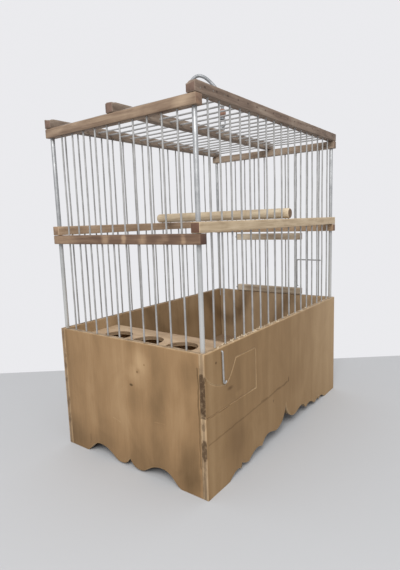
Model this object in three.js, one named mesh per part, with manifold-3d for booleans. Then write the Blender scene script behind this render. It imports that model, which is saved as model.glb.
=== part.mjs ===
// Canary breeding cage: a plywood box with a scalloped skirt, a feeder drawer under a board
// with three holes, and a two-storey wire cage between wooden rails, hung by a hook.
// Millimetres, +Z up, +X across the cage, +Y along it, from the drawer's end to the door.
// The origin is on the floor, under the middle of the cage.

import * as THREE from "three";
import { mergeVertices } from "three/addons/utils/BufferGeometryUtils.js";
import Module from "manifold-3d";

const wasm = await Module();
wasm.setup();

// ---------------------------------------------------------------- driving dimensions

// Box
const boxWidth = 200; // outer faces of the two side panels
const boxLength = 320; // outer faces of the two end panels
const boxHeight = 137.5;
const panelThickness = 6;
const floorDrop = 79.5; // from the box's upper edge to the upper face of the floor board
const floorThickness = 5;

// Skirt, cut along the lower edge of each panel
const endSkirt = { notch: 10.5, lobeAt: 14, lobe: 2.2, archAt: 45, arch: 13.5, footAt: 68 };
const sideSkirt = {
  cusp: 34.5, // height of the middle cusp
  lobeAt: 25, lobe: 12,
  secondCuspAt: 59, secondCusp: 8,
  thirdCuspAt: 87, thirdCusp: 4,
  stepAt: 101, step: 9.5, stepFoot: 3.5,
  footAt: 124,
};

// Rails, rods and wires
const railSize = 9.6; // square section
const lowerStorey = 94.5; // from the box to the middle rails
const upperStorey = 112; // between the undersides of the middle and the top rails
const railNose = 2.5; // radius on the near end of the right top rail
const postDiameter = 4.5;
const postInset = 5; // from the cage's outer faces to the rods' centres
const postSocket = 12; // depth of the rods' holes in the box
const postHead = 5; // how far the rods go up into the top rails
const wireDiameter = 1.8;
const wireInset = 4; // from the cage's outer faces to the wires' centres
const wireSocket = 4; // depth of the wires' holes
const endWires = 10;
const sideWires = 17;
const roofWires = 18;

// Door in the far end
const doorOverhang = 7.9; // of its bars, past the door's last wire
const doorBarDepth = 7.6;
const doorBarHeight = 9.6;
const doorTopGap = 2.5; // under the middle rail
const doorBottomGap = 0.6; // over the box
const doorWires = 6;
const doorHingeWire = 2; // which of the far wires it turns on, counted from the left
const eyeWireDiameter = 1.2; // of the small eyes
const eyeShank = 6;
const latchFootRise = 3.3; // the latch's lower eye, over the bottom bar
const latchLeg = 39; // from that eye up to the latch's arm
const latchCrosses = 2; // wires of the wall that the latch's arm passes
const latchTip = 2.4;

// Feeder board and drawer in the near end
const feederBoardDrop = 11.9; // under the box's upper edge
const feederBoardThickness = 4;
const feederBoardDepth = 72;
const feederHoleDiameter = 35;
const feederHolePitch = 47;
const feederHoleShift = -6.5; // of the middle hole, across the cage
const feederHoles = 3;
const partitionThickness = 4;
const runnerSize = 8;
const drawerFrontLength = 89.5; // from the near end of the box
const drawerFrontHeight = 43.2; // up to the underside of the feeder board
const drawerCorner = 3.5; // radius of the front's far upper corner
const drawerWall = 4;
const drawerFloor = 3;
const dividerThickness = 3;
// Lobe over the drawer front, along the panel and down from the box's upper edge
const lobe = { nearDrop: 17.5, at: 32.5, drop: 37.1, farAt: 51.2 };

// Wire hook that holds the drawer
const drawerHookAt = 27; // pivot, from the near end of the box
const drawerHookDrop = 3.6; // pivot, from the box's upper edge
const drawerHookLength = 31.2;
const drawerHookLean = 1.5; // degrees, at rest, away from the near end
const drawerHookBend = 2.2; // radius of the turned-up end

// Perch
const perchDiameter = 12;
const perchWire = 10; // which of the side wires its slots straddle, counted from the near end
const perchBack = 2; // from the right wall's outer face to the perch's right end

// Hanging hook
const hookAt = 31; // along the middle rail, from the cage's middle
const hookHeading = 35; // degrees, from +X to the hook's plane
const hookEyeRadius = 3;
const hookEyeWireDiameter = 1.6;
const hookEyeSocket = 6;
const linkHalfWidth = 3.6;
const linkCorner = 1.2;
const linkRise = 10.6; // between the link's two ends
const linkPlate = { radius: 2.9, thickness: 1.6 };
const hookPin = 1.9; // diameter of the hook's turned-down end
const nut = { radius: 2.4, thickness: 2 };
const bead = { radius: 4.4, height: 10.4, bore: 2.5 };
const crookDiameter = 4.2;
const crookLine = [ // from the bead's top: out from the pin's axis, and up
  [0, 6.5], [-2.6, 16.4], [-7, 24.4], [-13.4, 32], [-20.7, 38.2], [-28.1, 40.8], [-35, 38],
  [-39.4, 31.5], [-40.6, 24], [-38.6, 17],
];

// Clearances
const fitGap = 0.2; // between glued, nailed and pushed-in pieces
const runGap = 0.4; // between pieces that move on each other

// Facets
const wireSides = 6;
const ringSteps = 14; // round an eye
const rodSides = 12;
const roundSides = 32;
const curveSteps = 5;
const linkSteps = 3;
const samePlace = 1e-3; // points nearer than this are one

// ---------------------------------------------------------------- worked-out places

const halfWidth = boxWidth / 2;
const halfLength = boxLength / 2;
const innerHalfWidth = halfWidth - panelThickness;
const innerHalfLength = halfLength - panelThickness;
const floorTop = boxHeight - floorDrop;
const wireRadius = wireDiameter / 2;
const socketRadius = wireRadius + fitGap;
const postX = halfWidth - postInset;
const postY = halfLength - postInset;
const wireX = halfWidth - wireInset;
const wireY = halfLength - wireInset;
const midRailUnderside = boxHeight + lowerStorey;
const topRailUnderside = midRailUnderside + upperStorey;
const midLongUnderside = midRailUnderside + railSize;
const midLongTop = midLongUnderside + railSize;
const topLongUnderside = topRailUnderside + railSize;
const roofTop = topLongUnderside + railSize;
const roofWireHeight = topLongUnderside + railSize / 2;
const endPitch = (2 * postX) / (endWires + 1);
const sidePitch = (2 * postY) / (sideWires + 1);
const roofPitch = (2 * postY) / roofWires;

const partitionFar = -innerHalfLength + feederBoardDepth;
const partitionNear = partitionFar - partitionThickness;
const feederBoardTop = boxHeight - feederBoardDrop;
const feederBoardUnderside = feederBoardTop - feederBoardThickness;
const drawerFrontBottom = feederBoardUnderside - drawerFrontHeight;
const lobeBottom = boxHeight - lobe.drop;
const trayNear = -innerHalfLength + runGap;
const trayFar = partitionNear - runGap;
const trayBack = -innerHalfWidth + runGap;
const trayFront = innerHalfWidth - fitGap;
const trayTop = lobeBottom - 2 * runGap;
const trayWallBottom = drawerFrontBottom + drawerFloor + fitGap;

const hingeX = -postX + doorHingeWire * endPitch;
const doorBarLeft = hingeX + wireRadius + runGap + eyeWireDiameter + fitGap;
const doorBottom = boxHeight + doorBottomGap;
const doorTop = midRailUnderside - doorTopGap;
const lastDoorWireX = hingeX + doorWires * endPitch;
const doorBarRight = lastDoorWireX + doorOverhang;
const latchFoot = doorBottom + doorBarHeight + latchFootRise;
const latchArm = latchFoot + latchLeg;

const perchUnderside = midLongTop + fitGap;
const perchAxis = perchUnderside + perchDiameter / 2;
const perchY = -postY + perchWire * sidePitch;
const drawerHookHeight = boxHeight - drawerHookDrop;
const drawerHookFace = halfWidth + fitGap + wireRadius; // centre of the hook's wire
const outerReach = drawerHookFace + wireRadius; // the furthest that anything stands out across

// ---------------------------------------------------------------- solids

const materials = {
  boxPly: wood(0x977a58, 0.62),
  edgePly: wood(0xa58a68, 0.7),
  darkRail: wood(0x6b5040, 0.66),
  lightRail: wood(0xab9272, 0.68),
  greyRail: wood(0x75675a, 0.78),
  palePine: wood(0xc9b491, 0.72),
  wire: metal(0xa3a4a4, 0.42),
  rod: metal(0xc6cacd, 0.3),
  hook: metal(0x9b9da0, 0.36),
};

function wood(color, roughness) {
  return new THREE.MeshStandardMaterial({ color, roughness, metalness: 0 });
}

function metal(color, roughness) {
  return new THREE.MeshStandardMaterial({ color, roughness, metalness: 1 });
}

// A closed geometry as a solid that can be joined and cut.
function solid(geometry) {
  const bare = geometry.index ? geometry.toNonIndexed() : geometry.clone();
  bare.deleteAttribute("normal");
  bare.deleteAttribute("uv");
  const merged = mergeVertices(bare, 1e-4);
  return new wasm.Manifold(
    new wasm.Mesh({
      numProp: 3,
      vertProperties: new Float32Array(merged.attributes.position.array),
      triVerts: new Uint32Array(merged.index.array),
    }),
  );
}

function geometryOf(body) {
  const mesh = body.getMesh();
  const geometry = new THREE.BufferGeometry();
  geometry.setAttribute("position", new THREE.BufferAttribute(mesh.vertProperties, 3));
  geometry.setIndex(new THREE.BufferAttribute(mesh.triVerts, 1));
  geometry.computeVertexNormals();
  return geometry;
}

function join(first, ...others) {
  return others.reduce((sum, other) => sum.add(other), first);
}

function cut(first, ...others) {
  return others.reduce((rest, other) => rest.subtract(other), first);
}

// A block between two corners.
function block([x0, y0, z0], [x1, y1, z1]) {
  const geometry = new THREE.BoxGeometry(x1 - x0, y1 - y0, z1 - z0);
  return solid(geometry.translate((x0 + x1) / 2, (y0 + y1) / 2, (z0 + z1) / 2));
}

// A round bar standing on (x, y) between two heights.
function upright(x, y, low, high, radius, sides = wireSides) {
  const geometry = new THREE.CylinderGeometry(radius, radius, high - low, sides);
  return solid(geometry.rotateX(Math.PI / 2).translate(x, y, (low + high) / 2));
}

// A round bar lying across the cage, between two places on X.
function crossbar(x0, x1, y, z, radius, sides = wireSides) {
  const geometry = new THREE.CylinderGeometry(radius, radius, x1 - x0, sides);
  return solid(geometry.rotateZ(Math.PI / 2).translate((x0 + x1) / 2, y, z));
}

// A ring whose axis is Z.
function ring(radius, thickness, x, y, z) {
  const geometry = new THREE.TorusGeometry(radius, thickness / 2, wireSides, ringSteps);
  return geometry.translate(x, y, z);
}

// A round wire along a curve.
function bentWire(curve, radius, steps, sides = wireSides) {
  const section = new THREE.Shape();
  section.absarc(0, 0, radius, 0, 2 * Math.PI);
  const outline = new THREE.Shape(section.getSpacedPoints(sides).slice(0, sides));
  return new THREE.ExtrudeGeometry(outline, { steps, extrudePath: curve });
}

// A flat board from an outline drawn along Y and Z, between two places on X.
function sideBoard(outline, x0, x1) {
  const geometry = new THREE.ExtrudeGeometry(outline, {
    depth: x1 - x0,
    bevelEnabled: false,
    curveSegments: curveSteps,
  });
  const toSide = new THREE.Matrix4().makeBasis(
    new THREE.Vector3(0, 1, 0),
    new THREE.Vector3(0, 0, 1),
    new THREE.Vector3(1, 0, 0),
  );
  return solid(geometry.applyMatrix4(toSide).translate(x0, 0, 0));
}

// A flat board from an outline drawn along X and Z, between two places on Y.
function endBoard(outline, y0, y1) {
  const geometry = new THREE.ExtrudeGeometry(outline, {
    depth: y1 - y0,
    bevelEnabled: false,
    curveSegments: curveSteps,
  });
  return solid(geometry.rotateX(Math.PI / 2).translate(0, y1, 0));
}

// Evenly spaced places: the first and the pitch between them.
function row(count, first, pitch) {
  return Array.from({ length: count }, (_, i) => first + i * pitch);
}

const postCorners = [[-1, -1], [1, -1], [1, 1], [-1, 1]];

const cage = new THREE.Group();

function add(name, shape, material, group = cage) {
  const geometry = shape.isBufferGeometry ? shape : geometryOf(shape);
  const mesh = new THREE.Mesh(geometry, material);
  mesh.name = name;
  group.add(mesh);
  return mesh;
}

// The same piece turned half round the cage's upright axis.
function addOpposite(name, shape, material) {
  add(name, shape, material).rotation.z = Math.PI;
}

// ---------------------------------------------------------------- box

// A smooth curve between two points of an outline. Its handles reach a share of the way along,
// at heights of their own, the first point's and the second's unless others are given.
function sweep(path, [x0, z0], [x1, z1], reach0, reach1, rise0 = 0, rise1 = 0) {
  path.bezierCurveTo(
    x0 + reach0 * (x1 - x0), z0 + rise0,
    x1 - reach1 * (x1 - x0), z1 + rise1,
    x1, z1,
  );
}

// Half of a skirt is drawn from the middle outwards; the other half mirrors it.
function skirtedOutline(half, drawHalfSkirt) {
  const skirt = new THREE.Path();
  drawHalfSkirt(skirt);
  const right = skirt.getPoints(curveSteps);
  const left = right.slice(1).reverse().map((p) => new THREE.Vector2(-p.x, p.y));
  const outline = [...left, ...right];
  outline.push(new THREE.Vector2(half, 0), new THREE.Vector2(half, boxHeight));
  outline.push(new THREE.Vector2(-half, boxHeight), new THREE.Vector2(-half, 0));
  return new THREE.Shape(outline);
}

function endSkirtHalf(path) {
  const { notch, lobeAt, lobe: low, archAt, arch, footAt } = endSkirt;
  path.moveTo(0, notch);
  sweep(path, [0, notch], [lobeAt, low], 0.25, 0.5, 0.7 * (low - notch));
  sweep(path, [lobeAt, low], [archAt, arch], 0.32, 0.55);
  sweep(path, [archAt, arch], [footAt, 0], 0.52, 0.35, 0, arch / 4);
}

function sideSkirtHalf(path) {
  const s = sideSkirt;
  const second = [s.secondCuspAt, s.secondCusp];
  const third = [s.thirdCuspAt, s.thirdCusp];
  const foot = [s.stepAt * 1.015, s.stepFoot];
  path.moveTo(0, s.cusp);
  path.quadraticCurveTo(s.lobeAt / 4, s.lobe, s.lobeAt, s.lobe);
  sweep(path, [s.lobeAt, s.lobe], second, 0.24, 0.32, 0, 2 * s.secondCusp);
  sweep(path, second, third, 0.25, 0.4, s.secondCusp / 2, 2.2 * s.thirdCusp);
  path.quadraticCurveTo(0.94 * s.stepAt, 1.25 * s.thirdCusp, s.stepAt, s.step);
  path.lineTo(...foot);
  sweep(path, foot, [s.footAt, 0], 0.25, 0.37, 1.4 * s.stepFoot, 1.7 * s.stepFoot);
}

// Holes down into the box's upper edges, for the wires and for the rods at the corners.
function wireSockets(places, top) {
  return places.map(([x, y]) => upright(x, y, top - wireSocket, top + 1, socketRadius));
}

function postSockets(bottom, top) {
  const radius = postDiameter / 2 + fitGap;
  return postCorners.map(([sx, sy]) =>
    upright(sx * postX, sy * postY, bottom, top, radius, rodSides),
  );
}

const endWirePlaces = row(endWires, -postX + endPitch, endPitch);
const sideWirePlaces = row(sideWires, -postY + sidePitch, sidePitch);
const openFarWires = endWirePlaces.filter(
  (x) => x < hingeX + endPitch / 2 || x > lastDoorWireX + endPitch / 2,
);
const boxPostSockets = postSockets(boxHeight - postSocket, boxHeight + 1);

const endBoardShape = endBoard(
  skirtedOutline(innerHalfWidth - fitGap, endSkirtHalf),
  -halfLength,
  -innerHalfLength,
);
const sideBoardShape = sideBoard(
  skirtedOutline(halfLength, sideSkirtHalf),
  innerHalfWidth,
  halfWidth,
);

// The drawer front's outline, grown all round by a clearance. A lobe of the side panel hangs
// into its upper edge, under the pivot of the wire hook.
function drawerFrontOutline(grow) {
  const near = -halfLength - grow;
  const far = -halfLength + drawerFrontLength + grow;
  const bottom = drawerFrontBottom - grow;
  const top = feederBoardUnderside + grow;
  const nearTop = boxHeight - lobe.nearDrop + grow;
  const lobeFall = lobe.drop - lobe.nearDrop;
  const lobeRise = feederBoardUnderside - lobeBottom;
  const lowest = [-halfLength + lobe.at, lobeBottom + grow];
  const outline = new THREE.Shape();
  outline.moveTo(near, bottom);
  outline.lineTo(near, nearTop);
  outline.lineTo(-halfLength, nearTop);
  sweep(outline, [-halfLength, nearTop], lowest, 0.1, 0.5, -0.56 * lobeFall, 0.15 * lobeFall);
  sweep(outline, lowest, [-halfLength + lobe.farAt, top], 0.37, 0.32, 0.08 * lobeRise,
    -0.48 * lobeRise);
  outline.lineTo(far - drawerCorner, top);
  outline.absarc(far - drawerCorner, top - drawerCorner, drawerCorner, Math.PI / 2, 0, true);
  outline.lineTo(far, bottom);
  return outline;
}

const drawerCutout = sideBoard(drawerFrontOutline(runGap), innerHalfWidth - 1, halfWidth + 1);
const drawerHookHole = crossbar(
  halfWidth - wireSocket, halfWidth + 1,
  -halfLength + drawerHookAt, drawerHookHeight, wireRadius + runGap,
);

add("near_end_panel",
  cut(endBoardShape, ...wireSockets(endWirePlaces.map((x) => [x, -wireY]), boxHeight),
    ...boxPostSockets),
  materials.boxPly);
addOpposite("far_end_panel",
  cut(endBoardShape, ...wireSockets(openFarWires.map((x) => [-x, -wireY]), boxHeight),
    ...boxPostSockets),
  materials.boxPly);
addOpposite("left_side_panel",
  cut(sideBoardShape, ...wireSockets(sideWirePlaces.map((y) => [wireX, y]), boxHeight),
    ...boxPostSockets),
  materials.boxPly);
add("right_side_panel",
  cut(sideBoardShape, ...wireSockets(sideWirePlaces.map((y) => [wireX, y]), boxHeight),
    ...boxPostSockets, drawerCutout, drawerHookHole),
  materials.boxPly);
add("floor_board",
  block(
    [-innerHalfWidth + fitGap, -innerHalfLength + fitGap, floorTop - floorThickness],
    [innerHalfWidth - fitGap, innerHalfLength - fitGap, floorTop],
  ),
  materials.boxPly);

// ---------------------------------------------------------------- feeder

const feederHolePlaces = row(
  feederHoles, feederHoleShift - ((feederHoles - 1) * feederHolePitch) / 2, feederHolePitch,
);
const feederHoleY = (-innerHalfLength + partitionFar) / 2;
add("feeder_board",
  cut(
    block(
      [-innerHalfWidth + fitGap, -innerHalfLength + fitGap, feederBoardUnderside],
      [innerHalfWidth - fitGap, partitionFar, feederBoardTop],
    ),
    ...feederHolePlaces.map((x) =>
      upright(x, feederHoleY, feederBoardUnderside - 1, feederBoardTop + 1,
        feederHoleDiameter / 2, roundSides),
    ),
  ),
  materials.palePine);
add("drawer_partition",
  block(
    [-innerHalfWidth + fitGap, partitionNear, floorTop + fitGap],
    [innerHalfWidth - fitGap, partitionFar, feederBoardUnderside - fitGap],
  ),
  materials.edgePly);

const runnerTop = drawerFrontBottom - runGap;
const runners = {
  near_runner: -innerHalfLength + fitGap,
  far_runner: partitionNear - fitGap - runnerSize,
};
for (const [name, y] of Object.entries(runners)) {
  add(name,
    block(
      [-innerHalfWidth + fitGap, y, runnerTop - runnerSize],
      [innerHalfWidth - fitGap, y + runnerSize, runnerTop],
    ),
    materials.edgePly);
}

// ---------------------------------------------------------------- feeder drawer

add("drawer_front", sideBoard(drawerFrontOutline(0), innerHalfWidth, halfWidth),
  materials.boxPly);
add("drawer_floor",
  block([trayBack, trayNear, drawerFrontBottom],
    [trayFront, trayFar, drawerFrontBottom + drawerFloor]),
  materials.edgePly);
const traySides = { drawer_near_side: trayNear, drawer_far_side: trayFar - drawerWall };
for (const [name, y] of Object.entries(traySides)) {
  add(name,
    block([trayBack, y, trayWallBottom], [trayFront, y + drawerWall, trayTop]),
    materials.edgePly);
}
const acrossTray = {
  drawer_back: [trayBack, drawerWall],
  drawer_divider_1: [feederHolePlaces[0] + (feederHolePitch - dividerThickness) / 2,
    dividerThickness],
  drawer_divider_2: [feederHolePlaces[1] + (feederHolePitch - dividerThickness) / 2,
    dividerThickness],
};
for (const [name, [x, thickness]] of Object.entries(acrossTray)) {
  add(name,
    block([x, trayNear + drawerWall + fitGap, trayWallBottom],
      [x + thickness, trayFar - drawerWall - fitGap, trayTop]),
    materials.edgePly);
}

// The wire hook turns in a hole in the panel and hangs over the lobe. Turned aside, its end
// crosses the drawer's front and holds it shut.
function drawerHookCurve() {
  const lean = THREE.MathUtils.degToRad(drawerHookLean);
  const down = (distance, aside = 0) => new THREE.Vector3(
    drawerHookFace,
    -halfLength + drawerHookAt + distance * Math.sin(lean) + aside * Math.cos(lean),
    drawerHookHeight - distance * Math.cos(lean) + aside * Math.sin(lean),
  );
  const pivot = new THREE.Vector3(
    halfWidth - wireSocket + fitGap, -halfLength + drawerHookAt, drawerHookHeight,
  );
  const elbow = pivot.clone().setX(drawerHookFace);
  const bend = drawerHookBend;
  const tightBend = bend / 2;
  const beforeElbow = elbow.clone().setX(drawerHookFace - tightBend);
  const curve = new THREE.CurvePath();
  curve.add(new THREE.LineCurve3(pivot, beforeElbow));
  curve.add(new THREE.QuadraticBezierCurve3(beforeElbow, elbow, down(tightBend)));
  curve.add(new THREE.LineCurve3(down(tightBend), down(drawerHookLength - bend)));
  curve.add(new THREE.QuadraticBezierCurve3(
    down(drawerHookLength - bend), down(drawerHookLength), down(drawerHookLength, bend),
  ));
  curve.add(new THREE.QuadraticBezierCurve3(
    down(drawerHookLength, bend),
    down(drawerHookLength, 1.8 * bend),
    down(drawerHookLength - bend, 2 * bend),
  ));
  return curve;
}
add("drawer_hook", bentWire(drawerHookCurve(), wireRadius, 22), materials.wire);

// ---------------------------------------------------------------- rods, rails and wires

const postNames = ["near_left_post", "near_right_post", "far_right_post", "far_left_post"];
postNames.forEach((name, i) => {
  const [sx, sy] = postCorners[i];
  add(name,
    upright(sx * postX, sy * postY, boxHeight - postSocket + fitGap,
      topLongUnderside + postHead, postDiameter / 2, rodSides),
    materials.rod);
});

const railPostHoles = postSockets(midRailUnderside - 1, topLongUnderside + postHead + fitGap);

// A rail along the near end, and one along the right side, at a height.
function endRail(underside) {
  return block([-halfWidth, -halfLength, underside],
    [halfWidth, -halfLength + railSize, underside + railSize - fitGap]);
}

function sideRail(underside) {
  return block([halfWidth - railSize, -halfLength, underside],
    [halfWidth, halfLength, underside + railSize]);
}

// The wires pass through the middle rails, which hold them.
const wireBottom = boxHeight - wireSocket + fitGap;
const endWireTop = topRailUnderside + wireSocket - fitGap;
const sideWireTop = topLongUnderside + wireSocket - fitGap;
const endWall = join(
  cut(endRail(midRailUnderside), ...railPostHoles),
  ...endWirePlaces.map((x) => upright(x, -wireY, wireBottom, endWireTop, wireRadius)),
);
const sideWall = join(
  cut(sideRail(midLongUnderside), ...railPostHoles),
  ...sideWirePlaces.map((y) => upright(wireX, y, wireBottom, sideWireTop, wireRadius)),
);
add("near_wall", endWall, materials.darkRail);
add("right_wall", sideWall, materials.lightRail);
addOpposite("left_wall", sideWall, materials.darkRail);

// Over the door the far wall has wires only above its rail; beside it four short ones stand.
const farRail = cut(
  endRail(midRailUnderside), ...railPostHoles,
  ...openFarWires.map((x) =>
    upright(-x, -wireY, midRailUnderside - 1, midRailUnderside + wireSocket, socketRadius),
  ),
);
addOpposite("far_wall",
  join(farRail,
    ...endWirePlaces.map((x) =>
      upright(x, -wireY, midRailUnderside + railSize / 2, endWireTop, wireRadius))),
  materials.darkRail);
openFarWires.forEach((x, i) => {
  add(`far_wire_${i + 1}`,
    upright(x, wireY, wireBottom, midRailUnderside + wireSocket - fitGap, wireRadius),
    materials.wire);
});

// Top rails: the short ones lie under the long ones.
const endTopRail = cut(endRail(topRailUnderside), ...railPostHoles,
  ...endWirePlaces.map((x) =>
    upright(x, -wireY, topRailUnderside - 1, topRailUnderside + wireSocket, socketRadius)));
add("near_top_rail", endTopRail, materials.lightRail);
addOpposite("far_top_rail", endTopRail, materials.greyRail);

const roofWirePlaces = row(roofWires, -postY + roofPitch / 2, roofPitch);
const roofWireEnd = halfWidth - railSize + wireSocket - fitGap;
const sideTopRail = cut(sideRail(topLongUnderside), ...railPostHoles,
  ...sideWirePlaces.map((y) =>
    upright(wireX, y, topLongUnderside - 1, topLongUnderside + wireSocket, socketRadius)),
  ...roofWirePlaces.map((y) =>
    crossbar(halfWidth - railSize - 1, halfWidth - railSize + wireSocket, y, roofWireHeight,
      socketRadius)));

// The near end of the right rail has its upper corner rounded off.
function noseWaste() {
  const outline = new THREE.Shape();
  outline.moveTo(-halfLength - 1, roofTop - railNose);
  outline.lineTo(-halfLength, roofTop - railNose);
  outline.absarc(-halfLength + railNose, roofTop - railNose, railNose, Math.PI, Math.PI / 2, true);
  outline.lineTo(-halfLength + railNose, roofTop + 1);
  outline.lineTo(-halfLength - 1, roofTop + 1);
  return sideBoard(outline, halfWidth - railSize - 1, halfWidth + 1);
}
add("right_top_rail", cut(sideTopRail, noseWaste()), materials.greyRail);
addOpposite("left_top_rail", sideTopRail, materials.greyRail);

const hookEyeHole = upright(0, hookAt, roofTop - hookEyeSocket, roofTop + 1,
  hookEyeWireDiameter / 2 + fitGap);
add("roof_grille",
  cut(
    join(
      block([-railSize / 2, -halfLength, topLongUnderside],
        [railSize / 2, halfLength, roofTop]),
      ...roofWirePlaces.map((y) =>
        crossbar(-roofWireEnd, roofWireEnd, y, roofWireHeight, wireRadius)),
    ),
    hookEyeHole,
  ),
  materials.greyRail);

// The perch lies on the side rails, its slotted ends astride a wire on each side.
const slotHalf = wireRadius + runGap;
const slotDepth = wireX - wireRadius - runGap;
const perchLow = perchUnderside - 1;
const perchHigh = perchUnderside + perchDiameter + 1;
add("perch",
  cut(
    crossbar(-outerReach, halfWidth - perchBack, perchY, perchAxis, perchDiameter / 2, roundSides),
    block([-outerReach - 1, perchY - slotHalf, perchLow], [-slotDepth, perchY + slotHalf, perchHigh]),
    block([slotDepth, perchY - slotHalf, perchLow], [outerReach, perchY + slotHalf, perchHigh]),
  ),
  materials.palePine);

// ---------------------------------------------------------------- door

const doorWirePlaces = row(doorWires, hingeX + endPitch, endPitch);
function doorBar(bottom) {
  return block(
    [doorBarLeft, wireY - doorBarDepth / 2, bottom],
    [doorBarRight, wireY + doorBarDepth / 2, bottom + doorBarHeight],
  );
}
const doorTopBarBottom = doorTop - doorBarHeight;
const doorBars = { door_top_bar: doorTopBarBottom, door_bottom_bar: doorBottom };

// An eye of wire round the hinge wire, with its shank driven into a bar's end.
function hingeEye(barBottom) {
  const z = barBottom + doorBarHeight / 2;
  const radius = wireRadius + runGap + eyeWireDiameter / 2;
  return join(
    solid(ring(radius, eyeWireDiameter, hingeX, wireY, z)),
    crossbar(hingeX + radius, doorBarLeft + eyeShank - fitGap, wireY, z, eyeWireDiameter / 2),
  );
}
function eyeHole(barBottom) {
  return crossbar(doorBarLeft - 1, doorBarLeft + eyeShank, wireY, barBottom + doorBarHeight / 2,
    eyeWireDiameter / 2 + fitGap);
}
add("door_top_bar",
  cut(doorBar(doorTopBarBottom), eyeHole(doorTopBarBottom),
    ...doorWirePlaces.map((x) =>
      upright(x, wireY, doorTopBarBottom - 1, doorTopBarBottom + wireSocket, socketRadius))),
  materials.lightRail);
add("door_bottom_bar",
  join(cut(doorBar(doorBottom), eyeHole(doorBottom)),
    ...doorWirePlaces.map((x) =>
      upright(x, wireY, doorBottom + doorBarHeight / 2, doorTopBarBottom + wireSocket - fitGap,
        wireRadius))),
  materials.lightRail);
Object.entries(doorBars).forEach(([name, bottom]) => {
  add(name.replace("bar", "eye"), hingeEye(bottom), materials.wire);
});

// The latch is one wire: an eye round the door's last wire, a leg up beside it, and an arm
// across the wall's wires to a turned-in tip.
function latchShape() {
  const radius = 2 * wireRadius + runGap;
  const bend = 2;
  const out = wireY + radius;
  const tipX = lastDoorWireX + latchCrosses * endPitch + wireDiameter + runGap;
  const at = (x, y, z) => new THREE.Vector3(x, y, z);
  const curve = new THREE.CurvePath();
  curve.add(new THREE.LineCurve3(
    at(lastDoorWireX, out, latchFoot), at(lastDoorWireX, out, latchArm - bend),
  ));
  curve.add(new THREE.QuadraticBezierCurve3(
    at(lastDoorWireX, out, latchArm - bend),
    at(lastDoorWireX, out, latchArm),
    at(lastDoorWireX + bend, out, latchArm),
  ));
  curve.add(new THREE.LineCurve3(
    at(lastDoorWireX + bend, out, latchArm), at(tipX - bend, out, latchArm),
  ));
  curve.add(new THREE.QuadraticBezierCurve3(
    at(tipX - bend, out, latchArm), at(tipX, out, latchArm),
    at(tipX, out - latchTip, latchArm),
  ));
  return join(
    solid(bentWire(curve, wireRadius, 20)),
    solid(ring(radius, wireDiameter, lastDoorWireX, wireY, latchFoot)),
  );
}
add("door_latch", latchShape(), materials.wire);

// ---------------------------------------------------------------- hanging hook

// Everything here is placed from the top of the middle rail.
const hook = new THREE.Group();
hook.position.set(0, hookAt, roofTop);
cage.add(hook);

const eyeCentre = fitGap + hookEyeRadius + hookEyeWireDiameter / 2;
const eyeTop = eyeCentre + hookEyeRadius;
const linkBottom = eyeTop - hookEyeWireDiameter - runGap;
const linkTop = linkBottom + linkRise;

// Screw eye, in a plane along the rail.
const eyeRing = new THREE.TorusGeometry(hookEyeRadius, hookEyeWireDiameter / 2, wireSides, ringSteps);
add("hook_eye",
  join(solid(eyeRing.rotateY(Math.PI / 2).translate(0, 0, eyeCentre)),
    upright(0, 0, fitGap - hookEyeSocket, fitGap + hookEyeWireDiameter / 2, hookEyeWireDiameter / 2)),
  materials.wire, hook);

// Link: a long loop through the eye, square at the top, where a plate holds the hook's pin.
function linkLoop() {
  const half = linkHalfWidth;
  const corner = linkCorner;
  const path = new THREE.Path();
  path.moveTo(half, linkTop - corner);
  path.absarc(half - corner, linkTop - corner, corner, 0, Math.PI / 2);
  path.absarc(corner - half, linkTop - corner, corner, Math.PI / 2, Math.PI);
  path.absarc(0, linkBottom + half, half, Math.PI, 2 * Math.PI);
  const points = path.getPoints(linkSteps).map((p) => new THREE.Vector3(p.x, 0, p.y));
  return points.filter((p, i) => i === 0 || p.distanceTo(points[i - 1]) > samePlace);
}

// A closed loop of wire through points in the plane of X and Z.
function closedLoop(points, radius) {
  const geometry = new THREE.BufferGeometry();
  const positions = [];
  const index = [];
  const count = points.length;
  points.forEach((point, i) => {
    const before = points[(i + count - 1) % count];
    const after = points[(i + 1) % count];
    const along = after.clone().sub(before).normalize();
    const across = new THREE.Vector3(along.z, 0, -along.x);
    for (let s = 0; s < wireSides; s += 1) {
      const angle = (2 * Math.PI * s) / wireSides;
      const spot = point.clone().addScaledVector(across, radius * Math.cos(angle));
      spot.y += radius * Math.sin(angle);
      positions.push(spot.x, spot.y, spot.z);
      const next = (s + 1) % wireSides;
      const here = i * wireSides;
      const there = ((i + 1) % count) * wireSides;
      index.push(here + s, here + next, there + next);
      index.push(here + s, there + next, there + s);
    }
  });
  geometry.setAttribute("position", new THREE.Float32BufferAttribute(positions, 3));
  geometry.setIndex(index);
  return geometry;
}
const pinHole = hookPin / 2 + fitGap;
add("hook_link",
  cut(
    join(solid(closedLoop(linkLoop(), hookEyeWireDiameter / 2)),
      upright(0, 0, linkTop - linkPlate.thickness / 2, linkTop + linkPlate.thickness / 2,
        linkPlate.radius, rodSides)),
    upright(0, 0, linkTop - linkPlate.thickness, linkTop + linkPlate.thickness, pinHole),
  ),
  materials.wire, hook);

// The hook turns on its pin, over the link.
const swivel = new THREE.Group();
swivel.position.z = linkTop;
swivel.rotation.z = THREE.MathUtils.degToRad(hookHeading);
hook.add(swivel);

const nutTop = -linkPlate.thickness / 2 - runGap;
const beadBottom = linkPlate.thickness / 2 + runGap;
const beadTop = beadBottom + bead.height;
add("hook_nut",
  cut(upright(0, 0, nutTop - nut.thickness, nutTop, nut.radius, 6),
    upright(0, 0, nutTop - nut.thickness - 1, nutTop + 1, pinHole)),
  materials.hook, swivel);

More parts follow.
